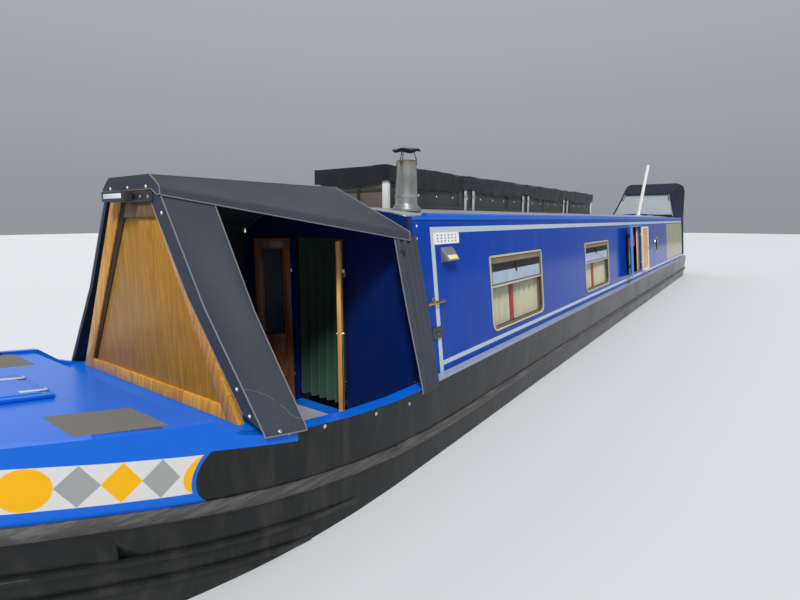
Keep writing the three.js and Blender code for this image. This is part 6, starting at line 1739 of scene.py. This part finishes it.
for sign in (1, -1):
    rows = []
    for k, z in enumerate(side_levels):
        fore = hood_front(z) if z <= HOOD_BEND else along_curve(HOOD_RIDGE, z)
        aft = hood_back(z)
        row = []
        for i in range(34):
            x = mix(fore, aft, i / 33)
            out = loose(k / 17, i / 33, 12.0 + sign, 0.008)
            row.append((x, sign * (hood_half(x, z) + out), z - 0.004 * (z > 2.95)))
        rows.append(row)
    hood_parts.append(cloth(rows, navy, 0))
    rows = []
    for k, z in enumerate(spread(HOOD_HEM, HOOD_FOOT + 0.004, 18)):
        row = []
        for i in range(12):
            x = mix(-7.994, hood_back(z), i / 11)
            row.append((x, sign * (hood_half(x, z) + loose(k / 17, i / 11, 15.0 + sign, 0.008)), z))
        rows.append(row)
    hood_parts.append(cloth(rows, navy, 0))
hood = joined(hood_parts)
modified(hood, "SOLIDIFY", thickness=CANVAS_THICK, offset=0.0)
settle(hood, "stern_hood_canvas", "boat", smooth=50.0)
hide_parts("stern_hood")

hoops = []
for x, top in ((-7.180, 2.935), (-7.72, 3.100), (-8.300, 3.258)):
    half_hoop = []
    for z in (2.33, 2.6, 2.8, 2.9, 3.0, 3.06, 3.12, 3.18, 3.22, 3.25, 3.268):
        if z < top - 0.012:
            half_hoop.append((hood_half(x, z) - 0.026, z))
    half_hoop.append((hood_half(x, top) - 0.08, top - 0.004))
    half_hoop.append((hood_half(x, top) - 0.20, top))
    if x < -8.0:
        half_hoop = [(hood_half(x, z) - 0.028, z) for z in (1.26, 1.8)] + half_hoop
    line = [(x, y, z) for y, z in half_hoop] + [(x, -y, z) for y, z in reversed(half_hoop)]
    hoops.append(tube(line, 0.0125, 12))
settle(joined(hoops), "stern_hood_hoops", "boat", stainless)
zip_black, tree, shader, place = finish_of("zip_black", (0.015, 0.015, 0.017), 0.45)
teeth = node(tree, "ShaderNodeTexWave", {"Vector": place, "Scale": 90.0}, bands_direction="Z")
feed(tree, shader, Base_Color=over(tree, teeth.outputs["Fac"], (0.012, 0.012, 0.013, 1.0),
                                   (0.12, 0.12, 0.12, 1.0)))
hood_trim = []
pale_tape = woven("pale_tape", (0.34, 0.35, 0.38), (0.48, 0.49, 0.52), 300.0, 0.6, 0.0)[0]
for sign in (1, -1):
    line = [(hood_front(z) + 0.004, sign * (hood_half(hood_front(z), z) - 0.040), z)
            for z in spread(2.31, 2.93, 12)]
    hood_trim.append(painted(tube(line, 0.006, 8), zip_black))
    pale = [(x + 0.002, y - sign * 0.022, z) for x, y, z in line]
    hood_trim.append(painted(tube(pale, 0.0065, 6), pale_tape))
for z in (2.365, 2.895):
    reach = hood_half(hood_front(z), z) - 0.065
    line = [(hood_front(z) + 0.003, y, z) for y in spread(-reach, reach, 12)]
    hood_trim.append(painted(tube(line, 0.0035, 6), pale_tape))
hood_trim.append(painted(tube([(x + 0.002, y, z + 0.003) for x, y, z in top_rows[0]], 0.005, 8), navy))
for sign, end in ((1, 0), (-1, -1)):
    seam = [(x, y + sign * 0.001, z + 0.003) for x, y, z in (row[end] for row in top_rows)]
    hood_trim.append(painted(tube(seam, 0.0045, 8), navy))
    corner = [(x - 0.002, y + sign * 0.001, z) for x, y, z in (row[end] for row in back_rows)]
    hood_trim.append(painted(tube(corner, 0.0045, 8), navy))
    side_zip = [(mix(-8.30, -8.345, (3.0 - z) / 1.75), sign * (hood_half(-8.3, z) + 0.004), z)
                for z in spread(3.0, 1.25, 20)]
    hood_trim.append(painted(tube(side_zip, 0.005, 8), zip_black))
    hem = [(x, sign * (hood_half(x, 1.21) + 0.001), 1.209) for x in spread(-7.996, -8.41, 6)]
    hood_trim.append(painted(tube(hem, 0.004, 8), piping))
border = [(hood_back(z) - 0.004, y, z) for y, z in (
    [(y, 2.285) for y in spread(-0.52, 0.52, 10)] + [(0.52, z) for z in spread(2.35, 2.85, 6)]
    + [(y, 2.88) for y in spread(0.52, -0.52, 10)] + [(-0.52, z) for z in spread(2.85, 2.35, 6)])]
hood_trim.append(painted(tube(border, 0.0035, 6, closed=True), piping))
settle(joined(hood_trim), "stern_hood_zips", "boat")

# Rope fenders: hand-woven coir, a plaited button on the stem and a coiled oval one at the stern.
coir, tree, shader, place = finish_of("coir_rope", (0.16, 0.115, 0.065), 0.92)
lay = node(tree, "ShaderNodeTexWave", {"Vector": place, "Scale": 34.0, "Distortion": 1.5, "Detail": 1.0},
           bands_direction="DIAGONAL")
fibre = node(tree, "ShaderNodeTexNoise", {"Vector": place, "Scale": 320.0, "Detail": 4.0})
damp = shared(tree, "weathering", {"Place": place, "Scale": 7.0})
colour = over(tree, lay.outputs["Fac"], (0.075, 0.052, 0.03, 1.0), (0.27, 0.20, 0.12, 1.0))
colour = over(tree, maths(tree, "MULTIPLY", damp["Clouds"], 0.45), colour, (0.06, 0.055, 0.045, 1.0))
height = maths(tree, "ADD", lay.outputs["Fac"], maths(tree, "MULTIPLY", fibre.outputs["Fac"], 0.35))
feed(tree, shader, Base_Color=colour, Normal=bumped(tree, height, 0.8, 0.004))
ROPE = 0.011
BOW_RINGS = [(1.180, 9.0529, 0.045), (1.260, 9.0701, 0.095), (1.420, 9.1030, 0.095), (1.520, 9.1229, 0.055)]


def bow_button(z, a, sink=0.0):
    """A place on the bow fender's face: a turns round it from starboard, -1, to port, 1."""
    root = along_curve([(x, at) for at, x, _ in BOW_RINGS], z)
    radius = along_curve([(r, at) for at, _, r in BOW_RINGS], z) - sink
    turn = a * math.pi / 2
    return (root + radius * math.cos(turn), radius * 0.8 * math.sin(turn), z)


strands = []
for k in range(-4, 15):
    for run in (1, -1):
        line = []
        for i in range(27):
            a = -1 + 2 * i / 26
            z = 1.180 + 0.026 * k + 0.065 * (1 + run * a)
            if 1.188 < z < 1.514:
                weave_lift = 0.004 * math.sin(i * 1.6 + k * math.pi)
                line.append(bow_button(z, a * 0.97, ROPE + 0.002 - run * weave_lift))
        if len(line) > 3:
            strands.append(tube(line, ROPE, 8))
core_rows = [[bow_button(z, a, 0.020) for a in spread(-1.0, 1.0, 15)] for z in spread(1.182, 1.518, 14)]
core = cloth(core_rows, coir, 0)
modified(core, "SOLIDIFY", thickness=0.004, offset=0.0)
for z in (1.19, 1.51):
    ring = [bow_button(z, a, ROPE) for a in spread(-0.98, 0.98, 14)]
    strands.append(tube(ring, ROPE * 1.1, 8))
bow_fender = joined([painted(part, coir) for part in strands + [core]])
settle(bow_fender, "bow_fender_rope", "boat", smooth=60.0)
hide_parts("bow_fender")
chain = []
for side_y in (-0.05, 0.05):
    start, out = surface("stem_post", (10.0, side_y * 0.3, 1.535), (-1.0, 0.0, 0.0))
    chain.append(tube([(start.x - 0.004, side_y * 0.6, 1.535), (start.x + 0.012, side_y * 0.9, 1.528),
                       bow_button(1.512, side_y * 10.0, 0.016)], 0.0045, 8))
settle(joined(chain), "bow_fender_shackles", "boat", steel_grey)

STERN_RINGS = [(0.6, 0.72), (30.0, 1.0), (120.0, 1.0), (175.0, 0.6), (176.0, 0.08)]


def counter_face(z):
    """Where the counter's raked end stands at a height."""
    return -9.1193 + 0.1077 * (1.0 - z)


def stern_button(out, turn, sink=0.0):
    """A place on the stern fender: its distance out from the counter and its turn round the oval."""
    scale = along_curve([(s, at) for at, s in STERN_RINGS], out * 1000.0)
    y = (0.200 * scale - sink) * math.cos(turn)
    z = 1.0 + (0.105 * scale - sink) * math.sin(turn)
    return (counter_face(z) - out, y, z)


coils = []
per_turn = 40
places = []
reach = 0.010
for i in range(per_turn * 7):
    places.append(stern_button(reach, math.tau * i / per_turn, ROPE))
    reach += 0.0232 / per_turn
coils.append(tube(places, ROPE * 1.08, 8))
for scale in (0.50, 0.36, 0.22, 0.09):
    ring = []
    for i in range(28):
        turn = math.tau * i / 28
        z = 1.0 + 0.105 * scale * math.sin(turn)
        ring.append((counter_face(z) - 0.1745 + 0.020 * scale, 0.200 * scale * math.cos(turn), z))
    coils.append(tube(ring, ROPE * 1.25, 8, closed=True))
middle_rows = [[stern_button(out, turn, 0.012) for turn in spread(0.0, math.tau, 33)]
               for out in (0.003, 0.03, 0.075, 0.12, 0.15, 0.172)]
body = cloth(middle_rows, coir, 0)
modified(body, "SOLIDIFY", thickness=0.004, offset=0.0)
stern_fender = joined([painted(part, coir) for part in coils + [body]])
settle(stern_fender, "stern_fender_rope", "boat", smooth=60.0)
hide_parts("stern_fender")

# Stern gear: a bronze propeller on its steel shaft, and the brass-sleeved swan neck that takes the tiller.
bronze = clouded("propeller_bronze", (0.42, 0.27, 0.10), 0.38, 11.0,
                 ((0.48, 0.31, 0.12), (0.16, 0.15, 0.10)), 1.0, shine=(0.4, 0.2))
welded("propeller", bronze, 40.0)
welded("swan_neck", brass, 60.0)
tiller_end = Matrix.Translation((-8.472, 0.0, 1.9655)) @ Matrix.Rotation(math.radians(80.0), 4, "Y")
ferrule = turned([(0.0, -0.030), (0.0225, -0.030), (0.024, -0.026), (0.024, -0.010), (0.0225, -0.006),
                  (0.0225, 0.002), (0.019, 0.0035), (0.0, 0.0035)], 24, tiller_end)
settle(ferrule, "tiller_ferrule", "rudder", stainless)
